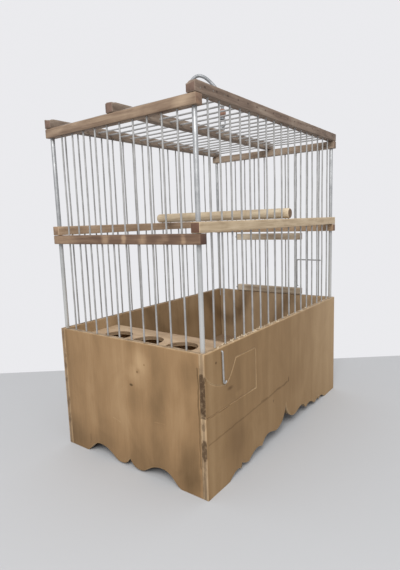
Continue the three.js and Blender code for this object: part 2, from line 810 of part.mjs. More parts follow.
// A turned bead: a waisted foot, a belly and a small flat top.
function beadShape() {
  const bore = bead.bore / 2;
  const profile = [
    [bore, 0], [0.62, 0], [0.72, 0.12], [0.7, 0.22], [0.97, 0.34], [1, 0.55], [0.9, 0.8],
    [0.62, 1], [bore, 1],
  ].map(([r, h], i, all) => new THREE.Vector2(
    i === 0 || i === all.length - 1 ? bore : r * bead.radius,
    beadBottom + h * bead.height,
  ));
  profile.push(profile[0].clone());
  return new THREE.LatheGeometry(profile, roundSides / 2).rotateX(Math.PI / 2);
}
add("hook_bead", beadShape(), materials.palePine, swivel);

// The crook rises from the bead, leans out and bends over, tighter towards its end.
function crookCurve() {
  const foot = new THREE.Vector3(0, 0, beadTop + fitGap);
  const points = crookLine.map(([out, up]) => new THREE.Vector3(out, 0, beadTop + up));
  return new THREE.CatmullRomCurve3([foot, ...points]);
}
add("hook_rod",
  join(solid(bentWire(crookCurve(), crookDiameter / 2, 24, 8)),
    upright(0, 0, nutTop - nut.thickness, beadTop + 2 * fitGap + 1, hookPin / 2)),
  materials.hook, swivel);

export default cage;
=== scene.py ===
"""A canary breeding cage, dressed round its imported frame.

The cage is a plywood box with a scalloped skirt and a feeder drawer. On it stands a two-storey
cage of wires between wooden rails, with a perch, a wire door and a hanging hook.

Shapes are drawn in millimetres in the frame's own axes: +Z up, +X towards the drawer's side,
+Y from the feeder's end to the door's end. They are scaled to metres when a piece is finished.
"""

import sys

import logging
import math
from dataclasses import dataclass, field, replace
from enum import Enum

import bmesh
import bpy
import numpy as np
from mathutils import Matrix, Vector, noise


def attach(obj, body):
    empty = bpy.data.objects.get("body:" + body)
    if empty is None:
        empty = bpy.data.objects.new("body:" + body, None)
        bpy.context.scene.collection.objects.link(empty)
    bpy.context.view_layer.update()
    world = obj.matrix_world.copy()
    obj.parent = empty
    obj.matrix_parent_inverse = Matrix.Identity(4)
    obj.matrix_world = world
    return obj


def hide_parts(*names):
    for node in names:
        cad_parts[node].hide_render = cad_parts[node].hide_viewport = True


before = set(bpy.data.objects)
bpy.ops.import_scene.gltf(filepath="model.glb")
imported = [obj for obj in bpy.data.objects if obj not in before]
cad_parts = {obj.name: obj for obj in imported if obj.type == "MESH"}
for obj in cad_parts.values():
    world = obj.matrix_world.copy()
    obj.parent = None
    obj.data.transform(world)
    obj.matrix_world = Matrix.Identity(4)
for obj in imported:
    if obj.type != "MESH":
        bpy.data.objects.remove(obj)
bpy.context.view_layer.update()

MM = 0.001
HALF_WIDTH = 100.0
HALF_LENGTH = 160.0
BOX_HEIGHT = 137.5
PANEL = 6.0
RAIL = 9.6
MID_RAIL = 232.0
TOP_RAIL = 344.0
ROOF_TOP = TOP_RAIL + 2 * RAIL
POST_X = 95.0
POST_Y = 155.0
WIRE_RADIUS = 0.9
WIRE_SOCKET = 3.8
WIRE_X = 96.0
WIRE_Y = 156.0
END_WIRES = 10
SIDE_WIRES = 17
ROOF_WIRES = 18
END_PITCH = 2 * POST_X / (END_WIRES + 1)
SIDE_PITCH = 2 * POST_Y / (SIDE_WIRES + 1)
ROOF_PITCH = 2 * POST_Y / ROOF_WIRES
HINGE_X = -POST_X + 2 * END_PITCH
DOOR_WIRES = 6
LAST_DOOR_WIRE_X = HINGE_X + DOOR_WIRES * END_PITCH
FIT_GAP = 0.2
CROSS_RAIL = RAIL - FIT_GAP  # height of the rails that the long ones lie on
INSIDE_X = HALF_WIDTH - PANEL - FIT_GAP
INSIDE_Y = HALF_LENGTH - PANEL - FIT_GAP

Point2 = tuple[float, float]
Point3 = tuple[float, float, float]
Colour = tuple[int, int, int]
Shape = bmesh.types.BMesh
Socket = bpy.types.NodeSocket
Material = bpy.types.Material

log = logging.getLogger("cage")


class Axis(Enum):
    """An axis of the frame, for grain and for boards."""

    X = 0
    Y = 1
    Z = 2


class Body(Enum):
    """The bodies that pieces ride on."""

    FRAME = "frame"
    DRAWER = "feeder_drawer"
    CATCH = "drawer_catch"
    DOOR = "door"
    LATCH = "latch"
    LINK = "link"
    HOOK = "hanging_hook"


# ---------------------------------------------------------------- colours and node graphs


def linear(colour: Colour) -> tuple[float, float, float, float]:
    """Turns a colour as seen on a screen, 0 to 255, into the renderer's linear one."""
    parts = [c / 255 for c in colour]
    red, green, blue = (
        c / 12.92 if c <= 0.04045 else ((c + 0.055) / 1.055) ** 2.4 for c in parts
    )
    return red, green, blue, 1.0


class Graph:
    """A material's node graph, with short ways to add nodes and join them."""

    def __init__(self, name: str) -> None:
        """Starts an empty material with an output and a principled shader."""
        self.material = bpy.data.materials.new(name)
        self.material.use_nodes = True
        self.tree = self.material.node_tree
        self.tree.nodes.clear()
        output = self.node("ShaderNodeOutputMaterial")
        self.shader = self.node("ShaderNodeBsdfPrincipled")
        self.link(self.shader.outputs[0], output.inputs[0])
        coordinates = self.node("ShaderNodeTexCoord").outputs["Object"]
        self.place = self.vector("SCALE", coordinates, scale=1 / MM)

    def node(self, kind: str, **settings: object) -> bpy.types.Node:
        """Adds a node and sets its properties."""
        made = self.tree.nodes.new(kind)
        for name, value in settings.items():
            setattr(made, name, value)
        return made

    def link(self, source: Socket, target: Socket) -> None:
        """Joins two sockets."""
        self.tree.links.new(source, target)

    def feed(self, value: object, target: Socket) -> None:
        """Puts a number, a vector or another node's output into a socket."""
        if isinstance(value, Socket):
            self.link(value, target)
        else:
            target.default_value = value

    def math(self, operation: str, *values: object, clamp: bool = False) -> Socket:
        """Adds a Math node.

        Args:
            operation: Blender's name of the operation.
            values: Numbers or sockets, one for each input.
            clamp: Whether the result stays between 0 and 1.

        Returns:
            The node's output.
        """
        made = self.node("ShaderNodeMath", operation=operation, use_clamp=clamp)
        for value, target in zip(values, made.inputs):
            self.feed(value, target)
        return made.outputs[0]

    def vector(self, operation: str, *values: object, scale: object = 1.0) -> Socket:
        """Adds a Vector Math node and returns its vector, or its value for a length."""
        made = self.node("ShaderNodeVectorMath", operation=operation)
        for value, target in zip(values, made.inputs):
            self.feed(value, target)
        if operation == "SCALE":
            self.feed(scale, made.inputs["Scale"])
        return made.outputs["Value" if operation in ("LENGTH", "DOT_PRODUCT") else "Vector"]

    def level(self, axis: Axis) -> Socket:
        """Returns the place along one axis."""
        split = self.node("ShaderNodeSeparateXYZ")
        self.link(self.place, split.inputs[0])
        return split.outputs[axis.value]

    def wavy(self, size: float, amount: float) -> Socket:
        """Returns the place moved about by noise of a size, by half an amount at most."""
        warp = self.node("ShaderNodeTexNoise")
        warp.inputs["Scale"].default_value = 1 / size
        self.link(self.place, warp.inputs["Vector"])
        shift = self.vector("SUBTRACT", warp.outputs["Color"], (0.5, 0.5, 0.5))
        return self.vector("ADD", self.place, self.vector("SCALE", shift, scale=amount))

    def mapped(self, vector: Socket, size: Point3, centre: Point3 = (0, 0, 0)) -> Socket:
        """Moves a point to lie about a centre, and divides it by a size."""
        made = self.node("ShaderNodeMapping", vector_type="TEXTURE")
        self.link(vector, made.inputs["Vector"])
        made.inputs["Location"].default_value = centre
        made.inputs["Scale"].default_value = size
        return made.outputs["Vector"]

    def noise(
        self, vector: Socket, size: float, detail: float = 2.0, roughness: float = 0.5,
        distortion: float = 0.0,
    ) -> Socket:
        """Adds noise with features of a size and returns its value, about 0.5."""
        made = self.node("ShaderNodeTexNoise")
        self.link(vector, made.inputs["Vector"])
        names = ("Scale", "Detail", "Roughness", "Distortion")
        for name, value in zip(names, (1 / size, detail, roughness, distortion)):
            made.inputs[name].default_value = value
        return made.outputs["Fac"]

    def spread(
        self, value: Socket, low: float, high: float, to_low: float = 0.0, to_high: float = 1.0
    ) -> Socket:
        """Maps a value smoothly from one range to another, and holds it inside."""
        made = self.node("ShaderNodeMapRange", interpolation_type="SMOOTHSTEP")
        names = ("Value", "From Min", "From Max", "To Min", "To Max")
        for name, item in zip(names, (value, low, high, to_low, to_high)):
            self.feed(item, made.inputs[name])
        return made.outputs["Result"]

    def ramp(self, value: Socket, stops: list[tuple[float, Colour]]) -> Socket:
        """Turns a value into a colour by a row of stops."""
        made = self.node("ShaderNodeValToRGB")
        elements = made.color_ramp.elements
        while len(elements) < len(stops):
            elements.new(0.5)
        for element, (position, colour) in zip(elements, stops):
            element.position = position
            element.color = linear(colour)
        self.link(value, made.inputs["Fac"])
        return made.outputs["Color"]

    def mix(self, share: object, first: object, second: object) -> Socket:
        """Mixes two colours, given as sockets or as screen colours, by the second one's share."""
        made = self.node("ShaderNodeMix", data_type="RGBA")
        self.feed(share, made.inputs["Factor"])
        for colour, name in ((first, "A"), (second, "B")):
            target = next(s for s in made.inputs if s.name == name and s.type == "RGBA")
            self.feed(linear(colour) if isinstance(colour, tuple) else colour, target)
        return next(s for s in made.outputs if s.type == "RGBA")

    def attribute(self, name: str) -> Socket:
        """Reads a value that the piece's mesh carries."""
        made = self.node("ShaderNodeAttribute", attribute_name=name)
        return made.outputs["Fac"]

    def bump(self, height: Socket, depth: float) -> None:
        """Gives the shader a relief of a depth in millimetres."""
        made = self.node("ShaderNodeBump")
        made.inputs["Distance"].default_value = depth * MM
        self.link(height, made.inputs["Height"])
        self.link(made.outputs["Normal"], self.shader.inputs["Normal"])


# ---------------------------------------------------------------- finishes


@dataclass(frozen=True)
class Streak:
    """A band of lighter or darker wood that runs with the grain."""

    at: float  # place across the board
    width: float
    shade: float  # lighter above 0, darker below


@dataclass(frozen=True)
class Spot:
    """A soft spot, such as a knot, a stain, a rubbed patch or a patch of painted light."""

    centre: Point3
    size: Point3
    shade: float

    def off(self, graph: Graph, place: Socket) -> Socket:
        """Returns how far a place is from the spot's centre, 1 at the spot's edge."""
        return graph.vector("LENGTH", graph.mapped(place, self.size, self.centre))


@dataclass(frozen=True)
class Line:
    """A mark along a path, such as a scratch, a joint that shows through, or a band of painted
    shade.
    """

    path: tuple[Point3, ...]
    width: float
    shade: float

    def off(self, graph: Graph) -> Socket:
        """Returns how far a place is from the path, which wanders a little."""
        place = graph.wavy(11.0, 3.0)
        nearest = None
        for begin, end in zip(self.path, self.path[1:]):
            run = Vector(end) - Vector(begin)
            start = graph.vector("SUBTRACT", place, begin)
            share = graph.vector("DOT_PRODUCT", start, tuple(run))
            share = graph.math("DIVIDE", share, run.length_squared, clamp=True)
            foot = graph.vector("SCALE", run, scale=share)
            away = graph.vector("LENGTH", graph.vector("SUBTRACT", start, foot))
            nearest = graph.math("MINIMUM", nearest, away) if nearest else away
        return nearest


def marks(axis: Axis, at: float, depth: float, rows: list[tuple[float, ...]]) -> tuple[Spot, ...]:
    """Returns soft spots on one face of a board.

    Args:
        axis: The axis across the face.
        at: Where the face lies on that axis.
        depth: How far the spots reach along it.
        rows: For each spot its two places and two sizes in the face, and its shade.

    Returns:
        The spots.
    """
    made = []
    for row in rows:
        centre, size = list(row[:2]), list(row[2:4])
        centre.insert(axis.value, at)
        size.insert(axis.value, depth)
        made.append(Spot(tuple(centre), tuple(size), row[4]))
    return tuple(made)


@dataclass(frozen=True)
class Ply:
    """The layers that show on a plywood board's cut edges."""

    axis: Axis
    centre: float
    thickness: float = PANEL


CRISP_SPOT = 3.0  # spots up to this size keep a clean outline
EDGE_DIRT = (70, 50, 28)


@dataclass(frozen=True)
class WoodFinish:
    """Stained or bare wood, with grain, bands, stains, rubbed edges, end grain, and some painted
    light and shade.
    """

    name: str
    slot: str
    dark: Colour
    base: Colour
    light: Colour
    worn: Colour  # of edges rubbed bare
    cut: Colour  # of end grain and cut edges
    grain: Axis = Axis.Z
    across: Axis = Axis.X
    wear: float = 0.6
    bands: float = 0.35
    band_width: float = 16.0
    fibres: float = 0.3
    blotches: float = 0.3
    roughness: float = 0.62
    relief: float = 0.04
    streaks: tuple[Streak, ...] = ()
    spots: tuple[Spot, ...] = ()
    lines: tuple[Line, ...] = ()
    grime: float = 0.6  # on the cut edges
    calm: tuple[Spot, ...] = ()  # where the edges are less rubbed
    cut_spots: tuple[Spot, ...] = ()  # dirt on the cut edges
    ply: Ply | None = None
    offset: Point3 = (0.0, 0.0, 0.0)

    def grained(self, graph: Graph, along: float) -> Socket:
        """Returns the place with the grain's direction drawn out by a factor."""
        size = [1.0, 1.0, 1.0]
        size[self.grain.value] = along
        return graph.mapped(graph.place, tuple(size), self.offset)

    def tone(self, graph: Graph) -> tuple[Socket, Socket]:
        """Builds the wood's tone from its bands, fibres, blotches, streaks and spots.

        Args:
            graph: The material's graph.

        Returns:
            The tone, about 0.5, and the fibres' height.
        """
        bands = graph.noise(self.grained(graph, 7.0), self.band_width, 3.0, 0.55, 0.6)
        fibres = graph.noise(self.grained(graph, 28.0), 1.1, 4.0, 0.65, 0.3)
        pores = graph.noise(self.grained(graph, 14.0), 3.2, 3.0, 0.6, 0.8)
        blotches = graph.noise(self.grained(graph, 1.6), 42.0, 4.0, 0.6, 1.2)
        tone = graph.math("MULTIPLY_ADD", bands, 2 * self.bands, 0.5 - self.bands)
        for value, amount in ((fibres, self.fibres), (pores, 0.6 * self.fibres),
                              (blotches, self.blotches)):
            centred = graph.math("SUBTRACT", value, 0.5)
            tone = graph.math("MULTIPLY_ADD", centred, 2 * amount, tone)
        if self.streaks:
            wobble = graph.noise(self.grained(graph, 2.0), 30.0, 2.0)
            wobble = graph.math("MULTIPLY_ADD", wobble, 8.0, -4.0)
            across = graph.math("ADD", graph.level(self.across), wobble)
            for streak in self.streaks:
                off = graph.math("ABSOLUTE", graph.math("SUBTRACT", across, streak.at))
                shade = graph.spread(off, 0.0, streak.width, streak.shade, 0.0)
                tone = graph.math("ADD", tone, shade)
        wavy = graph.wavy(14.0, 7.0)
        for spot in self.spots:
            off = spot.off(graph, wavy if min(spot.size) > CRISP_SPOT else graph.place)
            tone = graph.math("ADD", tone, graph.spread(off, 0.15, 1.0, spot.shade, 0.0))
        for line in self.lines:
            shade = graph.spread(line.off(graph), 0.2, line.width, line.shade, 0.0)
            tone = graph.math("ADD", tone, shade)
        return tone, graph.math("ADD", fibres, pores)

    def edges(self, graph: Graph, colour: Socket) -> Socket:
        """Lays rubbed edges and cut faces over the wood's colour."""
        rub = graph.noise(self.grained(graph, 2.5), 5.0, 3.0, 0.6)
        rubbed = graph.math("MULTIPLY_ADD", rub, 1.1, -0.55)
        rubbed = graph.math("ADD", graph.attribute("wear"), rubbed)
        rubbed = graph.spread(rubbed, 0.62, 1.05, 0.0, self.wear)
        for spot in self.calm:
            share = graph.spread(spot.off(graph, graph.place), 0.8, 1.1, spot.shade, 1.0)
            rubbed = graph.math("MULTIPLY", rubbed, share)
        cut = self.cut
        if self.ply:
            depth = graph.math("SUBTRACT", graph.level(self.ply.axis), self.ply.centre)
            depth = graph.math("DIVIDE", graph.math("ABSOLUTE", depth), self.ply.thickness / 2)
            core = tuple(int(0.86 * c) for c in self.cut)
            glue = tuple(int(0.7 * c) for c in self.cut)
            cut = graph.ramp(depth, [(0.0, core), (0.3, core), (0.36, glue), (0.42, self.cut),
                                     (1.0, self.cut)])
        grime = graph.noise(graph.place, 9.0, 3.0, 0.6)
        cut = graph.mix(graph.spread(grime, 0.42, 0.68, 0.0, self.grime), cut, self.dark)
        ragged = graph.math("MULTIPLY_ADD", graph.noise(graph.place, 4.0, 3.0, 0.6), 0.9, -0.45)
        worn_off = graph.spread(graph.noise(graph.place, 3.0, 4.0, 0.7), 0.46, 0.7, 1.0, 0.5)
        for spot in self.cut_spots:
            off = graph.math("ADD", spot.off(graph, graph.place), ragged)
            share = graph.spread(off, 0.8, 1.1, spot.shade, 0.0)
            cut = graph.mix(graph.math("MULTIPLY", share, worn_off), cut, EDGE_DIRT)
        colour = graph.mix(rubbed, colour, self.worn)
        return graph.mix(graph.attribute("cut"), colour, cut)

    def material(self) -> Material:
        """Builds the finish as a material."""
        graph = Graph(self.name)
        tone, height = self.tone(graph)
        colour = graph.ramp(tone, [(0.05, self.dark), (0.5, self.base), (0.95, self.light)])
        graph.link(self.edges(graph, colour), graph.shader.inputs["Base Color"])
        gloss = graph.math("MULTIPLY_ADD", tone, -0.12, self.roughness + 0.06, clamp=True)
        graph.link(gloss, graph.shader.inputs["Roughness"])
        graph.shader.inputs["Specular IOR Level"].default_value = 0.32
        graph.bump(height, self.relief)
        return graph.material


LOW_COLOUR_FULL_BELOW = 140.0
LOW_COLOUR_GONE_ABOVE = 260.0


@dataclass(frozen=True)
class MetalFinish:
    """Wire, rod or steel, dull or bright, with patches and specks."""

    name: str
    slot: str
    base: Colour
    dull: Colour
    roughness: float = 0.42
    metallic: float = 0.85
    spots: float = 6.0
    relief: float = 0.03
    low: Colour | None = None  # near the box, towards the bottom, where the metal is lighter

    def material(self) -> Material:
        """Builds the finish as a material."""
        graph = Graph(self.name)
        patches = graph.noise(graph.place, self.spots, 4.0, 0.65)
        specks = graph.noise(graph.place, 0.9, 3.0, 0.7)
        both = graph.math("MULTIPLY_ADD", specks, 0.45, graph.math("MULTIPLY", patches, 0.75))
        share = graph.spread(both, 0.42, 0.78)
        colour = graph.mix(share, self.base, self.dull)
        # lighter towards the bottom: fully below the first height, fading out by the second
        if self.low:
            low_share = graph.spread(graph.level(Axis.Z), LOW_COLOUR_FULL_BELOW, LOW_COLOUR_GONE_ABOVE, 1.0, 0.0)
            colour = graph.mix(low_share, colour, self.low)
        graph.link(colour, graph.shader.inputs["Base Color"])
        rough = graph.math("MULTIPLY_ADD", share, 0.2, self.roughness)
        graph.link(rough, graph.shader.inputs["Roughness"])
        graph.shader.inputs["Metallic"].default_value = self.metallic
        graph.bump(specks, self.relief)
        return graph.material


SHADE_PATH_Y = 140.0  # the paths of the painted shade bands lie off the faces, so that only the inner faces show them
SHADE_PATH_X = -80.0
NEAR_PLY = WoodFinish(
    "near_panel_ply", "box_ply",
    dark=(84, 63, 36), base=(143, 113, 78), light=(182, 152, 114),
    worn=(160, 130, 94), cut=(168, 143, 112),
    grain=Axis.Z, across=Axis.X, wear=0.45, bands=0.2, band_width=24.0, fibres=0.06,
    blotches=0.15,
    streaks=(
        Streak(-16.0, 20.0, 0.1), Streak(42.0, 16.0, -0.08), Streak(-62.0, 24.0, 0.05),
        Streak(70.0, 18.0, 0.04), Streak(-92.0, 6.0, -0.1), Streak(12.0, 9.0, -0.05),
        Streak(90.0, 8.0, -0.06), Streak(-44.0, 9.0, -0.05),
    ),
    spots=marks(Axis.Y, -160.0, 40.0, [
        (17.0, 112.0, 24.0, 27.0, 0.17),
        (25.0, 118.0, 15.0, 17.0, 0.12),
        (10.0, 104.0, 12.0, 13.0, 0.12),
        (0.0, 0.0, 200.0, 62.0, -0.14),
    ]) + marks(Axis.Y, -160.0, 14.0, [
        (18.5, 107.8, 4.6, 5.0, -0.16),
    ]) + marks(Axis.Y, -160.0, 8.0, [
        (17.4, 107.2, 2.0, 1.8, -0.4),
        (8.2, 92.2, 3.4, 1.8, -0.6),
        (27.5, 116.1, 1.8, 1.5, -0.3),
    ]) + marks(Axis.Y, -160.0, 40.0, [
        (78.0, 24.0, 20.0, 46.0, -0.24),
        (72.0, 6.0, 26.0, 20.0, -0.08),
        (42.0, 78.0, 15.0, 32.0, -0.12),
        (14.0, 76.0, 26.0, 20.0, -0.08),
        (-86.0, 16.0, 18.0, 30.0, -0.14),
        (84.0, 118.0, 20.0, 22.0, -0.14),
        (93.0, 20.0, 4.0, 60.0, 0.14),
        (-40.0, 10.0, 60.0, 24.0, -0.06),
    ]),
    lines=(
        Line(((-22.0, -160.0, 49.5), (-11.0, -160.0, 48.0)), 0.6, 0.16),
        Line(((36.0, -160.0, 60.0), (50.0, -160.0, 61.5)), 0.6, 0.12),
        Line(((92.6, -160.0, 30.0), (92.2, -160.0, 124.0)), 1.2, -0.28),
        Line(((-62.0, -160.0, 10.0), (-61.0, -160.0, 20.0)), 0.8, -0.25),
    ),
    calm=(Spot((94.0, -160.0, 60.0), (5.0, 9.0, 120.0), 0.35),),
    ply=Ply(Axis.Y, -157.0),
)
FAR_PLY = WoodFinish(
    "far_panel_ply", "box_ply",
    dark=(88, 66, 44), base=(158, 134, 104), light=(190, 166, 134),
    worn=(164, 138, 106), cut=(158, 132, 100),
    grain=Axis.Z, across=Axis.X, bands=0.22, band_width=20.0, fibres=0.08, blotches=0.2,
    streaks=(Streak(-40.0, 16.0, 0.1), Streak(22.0, 12.0, -0.12), Streak(66.0, 18.0, 0.1)),
    spots=(Spot((60.0, 154.0, 110.0), (30.0, 6.0, 30.0), -0.12),),
    # painted shade: soft dark bands where shadow falls on the inner face
    lines=(
        Line(((-36.0, SHADE_PATH_Y, 139.0), (-44.0, SHADE_PATH_Y, 125.0), (-52.0, SHADE_PATH_Y, 111.0),
              (-64.0, SHADE_PATH_Y, 94.0), (-76.0, SHADE_PATH_Y, 87.0), (-88.0, SHADE_PATH_Y, 90.0),
              (-96.0, SHADE_PATH_Y, 95.0)), 22.0, -0.8),
        Line(((34.0, SHADE_PATH_Y, 132.0), (24.0, SHADE_PATH_Y, 120.0), (15.0, SHADE_PATH_Y, 108.0),
              (11.0, SHADE_PATH_Y, 94.0)), 19.0, -0.8),
    ),
    ply=Ply(Axis.Y, 157.0), offset=(31.0, 12.0, 57.0),
)
SIDE_PLY = WoodFinish(
    "right_panel_ply", "box_ply",
    dark=(80, 55, 28), base=(133, 105, 70), light=(174, 146, 108),
    worn=(178, 150, 112), cut=(168, 142, 110),
    grain=Axis.Z, across=Axis.Y, wear=0.6, bands=0.14, band_width=22.0, fibres=0.05,
    blotches=0.12,
    streaks=(
        Streak(-151.0, 9.0, 0.1), Streak(-138.0, 9.0, 0.04), Streak(-110.0, 22.0, -0.05),
        Streak(36.0, 18.0, 0.03), Streak(96.0, 20.0, 0.04), Streak(134.0, 14.0, 0.05),
    ),
    spots=marks(Axis.X, 100.0, 60.0, [
        (190.0, 110.0, 210.0, 260.0, 0.26),
    ]) + marks(Axis.X, 100.0, 8.0, [
        (-142.3, 125.5, 1.5, 1.5, -0.9),
        (-120.0, 94.6, 7.0, 2.8, -0.28),
        (7.1, 62.6, 1.0, 4.2, -0.8),
        (-32.3, 49.5, 1.0, 2.6, -0.5),
    ]) + marks(Axis.X, 100.0, 20.0, [
        (-104.0, 84.0, 9.0, 5.0, 0.1),
        (-110.0, 36.0, 34.0, 30.0, -0.12),
        (-60.0, 26.0, 30.0, 18.0, 0.06),
        (30.0, 60.0, 40.0, 30.0, -0.06),
    ]),
    lines=(
        Line(((100.0, -156.0, 53.0), (100.0, 7.0, 60.0)), 1.3, -0.2),
        Line(((100.0, -60.0, 58.5), (100.0, 2.0, 60.5)), 0.8, -0.2),
        # painted shade in the narrow gap along the drawer face's lower edge
        Line(((100.0, -158.0, 78.2), (100.0, -122.0, 78.2)), 1.2, -0.3),
    ),
    calm=marks(Axis.X, 100.0, 9.0, [
        (-130.0, 78.0, 42.0, 7.0, 0.1),
        (-86.0, 86.0, 7.0, 14.0, 0.4),
        (-84.0, 112.0, 24.0, 14.0, 0.6),
        (-160.0, 50.0, 5.0, 90.0, 0.3),
    ]),
    grime=0.35,
    cut_spots=(
        Spot((97.0, -160.0, 48.0), (5.0, 3.0, 10.0), 0.85),
        Spot((97.0, -160.0, 70.0), (2.0, 3.0, 4.0), 0.5),
        Spot((96.0, -160.0, 12.0), (2.0, 3.0, 16.0), 0.3),
    ),
    ply=Ply(Axis.X, 97.0), offset=(9.0, 44.0, 21.0),
)
DRAWER_PLY = replace(
    SIDE_PLY, name="drawer_face_ply",
    cut_spots=(Spot((97.0, -160.0, 100.0), (6.0, 3.0, 22.0), 0.95),),
)
LEFT_PLY = WoodFinish(
    "left_panel_ply", "box_ply",
    dark=(84, 62, 40), base=(146, 120, 88), light=(184, 158, 124),
    worn=(166, 138, 104), cut=(156, 130, 98),
    grain=Axis.Z, across=Axis.Y, bands=0.22, band_width=20.0, fibres=0.08, blotches=0.2,
    streaks=(Streak(-96.0, 18.0, 0.1), Streak(-20.0, 16.0, -0.1), Streak(80.0, 18.0, 0.09)),
    spots=(Spot((-94.0, 66.0, 104.0), (16.0, 44.0, 22.0), -0.1),),
    # painted shade: soft dark bands where shadow falls on the inner face, the first meeting the far
    # panel's band at the corner
    lines=(
        Line(((SHADE_PATH_X, 112.0, 139.0), (SHADE_PATH_X, 120.0, 124.0), (SHADE_PATH_X, 134.0, 108.0),
              (SHADE_PATH_X, 150.0, 94.0)), 22.0, -0.8),
        Line(((SHADE_PATH_X, -36.0, 146.0), (SHADE_PATH_X, -20.0, 129.0), (SHADE_PATH_X, -5.0, 113.0),
              (SHADE_PATH_X, 11.0, 93.0)), 19.0, -0.7),
    ),
    ply=Ply(Axis.X, -97.0), offset=(71.0, 14.0, 33.0),
)
FLOOR_PLY = WoodFinish(
    "floor_ply", "box_ply",
    dark=(92, 72, 52), base=(142, 118, 92), light=(170, 148, 120),
    worn=(150, 126, 98), cut=(150, 124, 94),
    grain=Axis.Y, across=Axis.X, bands=0.4, fibres=0.2, blotches=0.4, roughness=0.75,
)
FEEDER_PLY = WoodFinish(
    "feeder_board_ply", "pale_pine",
    dark=(118, 92, 66), base=(176, 150, 120), light=(204, 181, 150),
    worn=(196, 172, 140), cut=(152, 126, 98),
    grain=Axis.X, across=Axis.Y, bands=0.3, fibres=0.16, blotches=0.3, roughness=0.7,
    ply=Ply(Axis.Z, 123.6, 4.0),
)
TRAY_PLY = WoodFinish(
    "tray_ply", "edge_ply",
    # the base is lighter than the wood's own light tone: painted light against the shade inside the
    # box
    dark=(112, 88, 62), base=(198, 172, 138), light=(190, 165, 130),
    worn=(176, 150, 116), cut=(150, 122, 90),
    grain=Axis.X, across=Axis.Y, bands=0.3, fibres=0.2, blotches=0.3, roughness=0.72,
)
TAN_RAIL = WoodFinish(
    "tan_rail", "light_rail",
    dark=(108, 84, 64), base=(160, 134, 106), light=(188, 165, 136),
    worn=(178, 154, 126), cut=(118, 88, 66),
    grain=Axis.X, across=Axis.Z, wear=0.4, bands=0.5, band_width=7.0, fibres=0.28,
    blotches=0.36, relief=0.1,
)
PALE_RAIL = WoodFinish(
    "pale_rail", "light_rail",
    dark=(120, 96, 70), base=(177, 157, 128), light=(202, 184, 157),
    worn=(190, 168, 138), cut=(96, 68, 54),
    grain=Axis.Y, across=Axis.Z, wear=0.4, bands=0.45, band_width=7.0, fibres=0.26,
    blotches=0.3, relief=0.1,
)
BROWN_RAIL = WoodFinish(
    "brown_rail", "dark_rail",
    dark=(100, 78, 60), base=(154, 129, 104), light=(184, 162, 138),
    worn=(172, 148, 122), cut=(146, 120, 96),
    grain=Axis.Y, across=Axis.Z, bands=0.5, band_width=8.0, fibres=0.28, blotches=0.4,
    relief=0.1,
)
NEAR_ROOF_RAIL = replace(
    TAN_RAIL, name="near_roof_rail", dark=(80, 60, 46), base=(127, 106, 87), light=(164, 142, 118),
    worn=(140, 118, 98), cut=(128, 102, 82),
    spots=marks(Axis.Y, -160.0, 8.0, [
        (86.0, 349.0, 15.0, 9.0, 0.36),
        (66.0, 344.0, 16.0, 3.0, -0.3),
        (0.0, 343.6, 120.0, 2.4, -0.25),
        (-20.0, 350.0, 40.0, 3.0, 0.12),
        (-80.0, 350.0, 16.0, 5.0, 0.16),
    ]),
)
FAR_ROOF_RAIL = replace(
    TAN_RAIL, name="far_roof_rail", slot="grey_rail", dark=(84, 68, 56), base=(146, 128, 110),
    light=(172, 156, 138), worn=(150, 134, 116), cut=(120, 98, 80),
)
DARK_RAIL = WoodFinish(
    "dark_rail", "dark_rail",
    dark=(64, 44, 34), base=(103, 80, 63), light=(158, 132, 106),
    worn=(118, 94, 76), cut=(84, 60, 48),
    grain=Axis.X, across=Axis.Z, wear=0.35, bands=0.3, band_width=9.0, fibres=0.2,
    blotches=0.3, relief=0.1,
    spots=marks(Axis.Y, -160.0, 9.0, [
        (-16.0, 236.6, 9.0, 9.0, 0.38),
        (8.5, 236.6, 5.5, 9.0, 0.42),
        (32.5, 234.6, 6.0, 7.0, 0.26),
        (36.5, 239.4, 6.0, 7.0, 0.26),
        (54.0, 234.6, 8.0, 7.0, 0.22),
        (61.0, 239.4, 8.0, 7.0, 0.22),
        (81.5, 236.6, 4.0, 9.0, 0.32),
        (-92.0, 237.0, 40.0, 14.0, 0.2),
        (-50.0, 232.6, 20.0, 2.0, -0.2),
    ]),
)
GREY_RAIL = WoodFinish(
    "grey_rail", "grey_rail",
    dark=(70, 56, 46), base=(118, 103, 90), light=(156, 142, 126),
    worn=(136, 120, 106), cut=(112, 90, 78),
    grain=Axis.Y, across=Axis.Z, wear=0.4, bands=0.5, band_width=8.0, fibres=0.34,
    blotches=0.44, roughness=0.74, relief=0.12,
)
DOOR_WOOD = WoodFinish(
    "door_wood", "light_rail",
    dark=(104, 88, 72), base=(156, 140, 120), light=(198, 184, 162),
    worn=(172, 150, 122), cut=(150, 126, 98),
    grain=Axis.X, across=Axis.Z, wear=0.45, bands=0.45, band_width=7.0, fibres=0.3,
    blotches=0.36,
    # painted light: the left ends of both bars are lighter, as where light falls on them
    spots=(Spot((-55.0, 156.0, 224.7), (26.0, 30.0, 30.0), 0.62),
           Spot((-55.0, 156.0, 142.9), (20.0, 30.0, 30.0), 0.5)),
)
PERCH_PINE = WoodFinish(
    "perch_pine", "pale_pine",
    dark=(134, 110, 84), base=(190, 172, 144), light=(214, 200, 174),
    worn=(206, 190, 162), cut=(110, 90, 72),
    grain=Axis.X, across=Axis.Y, wear=0.3, bands=0.4, band_width=6.0, fibres=0.24,
    blotches=0.4, relief=0.08,
)
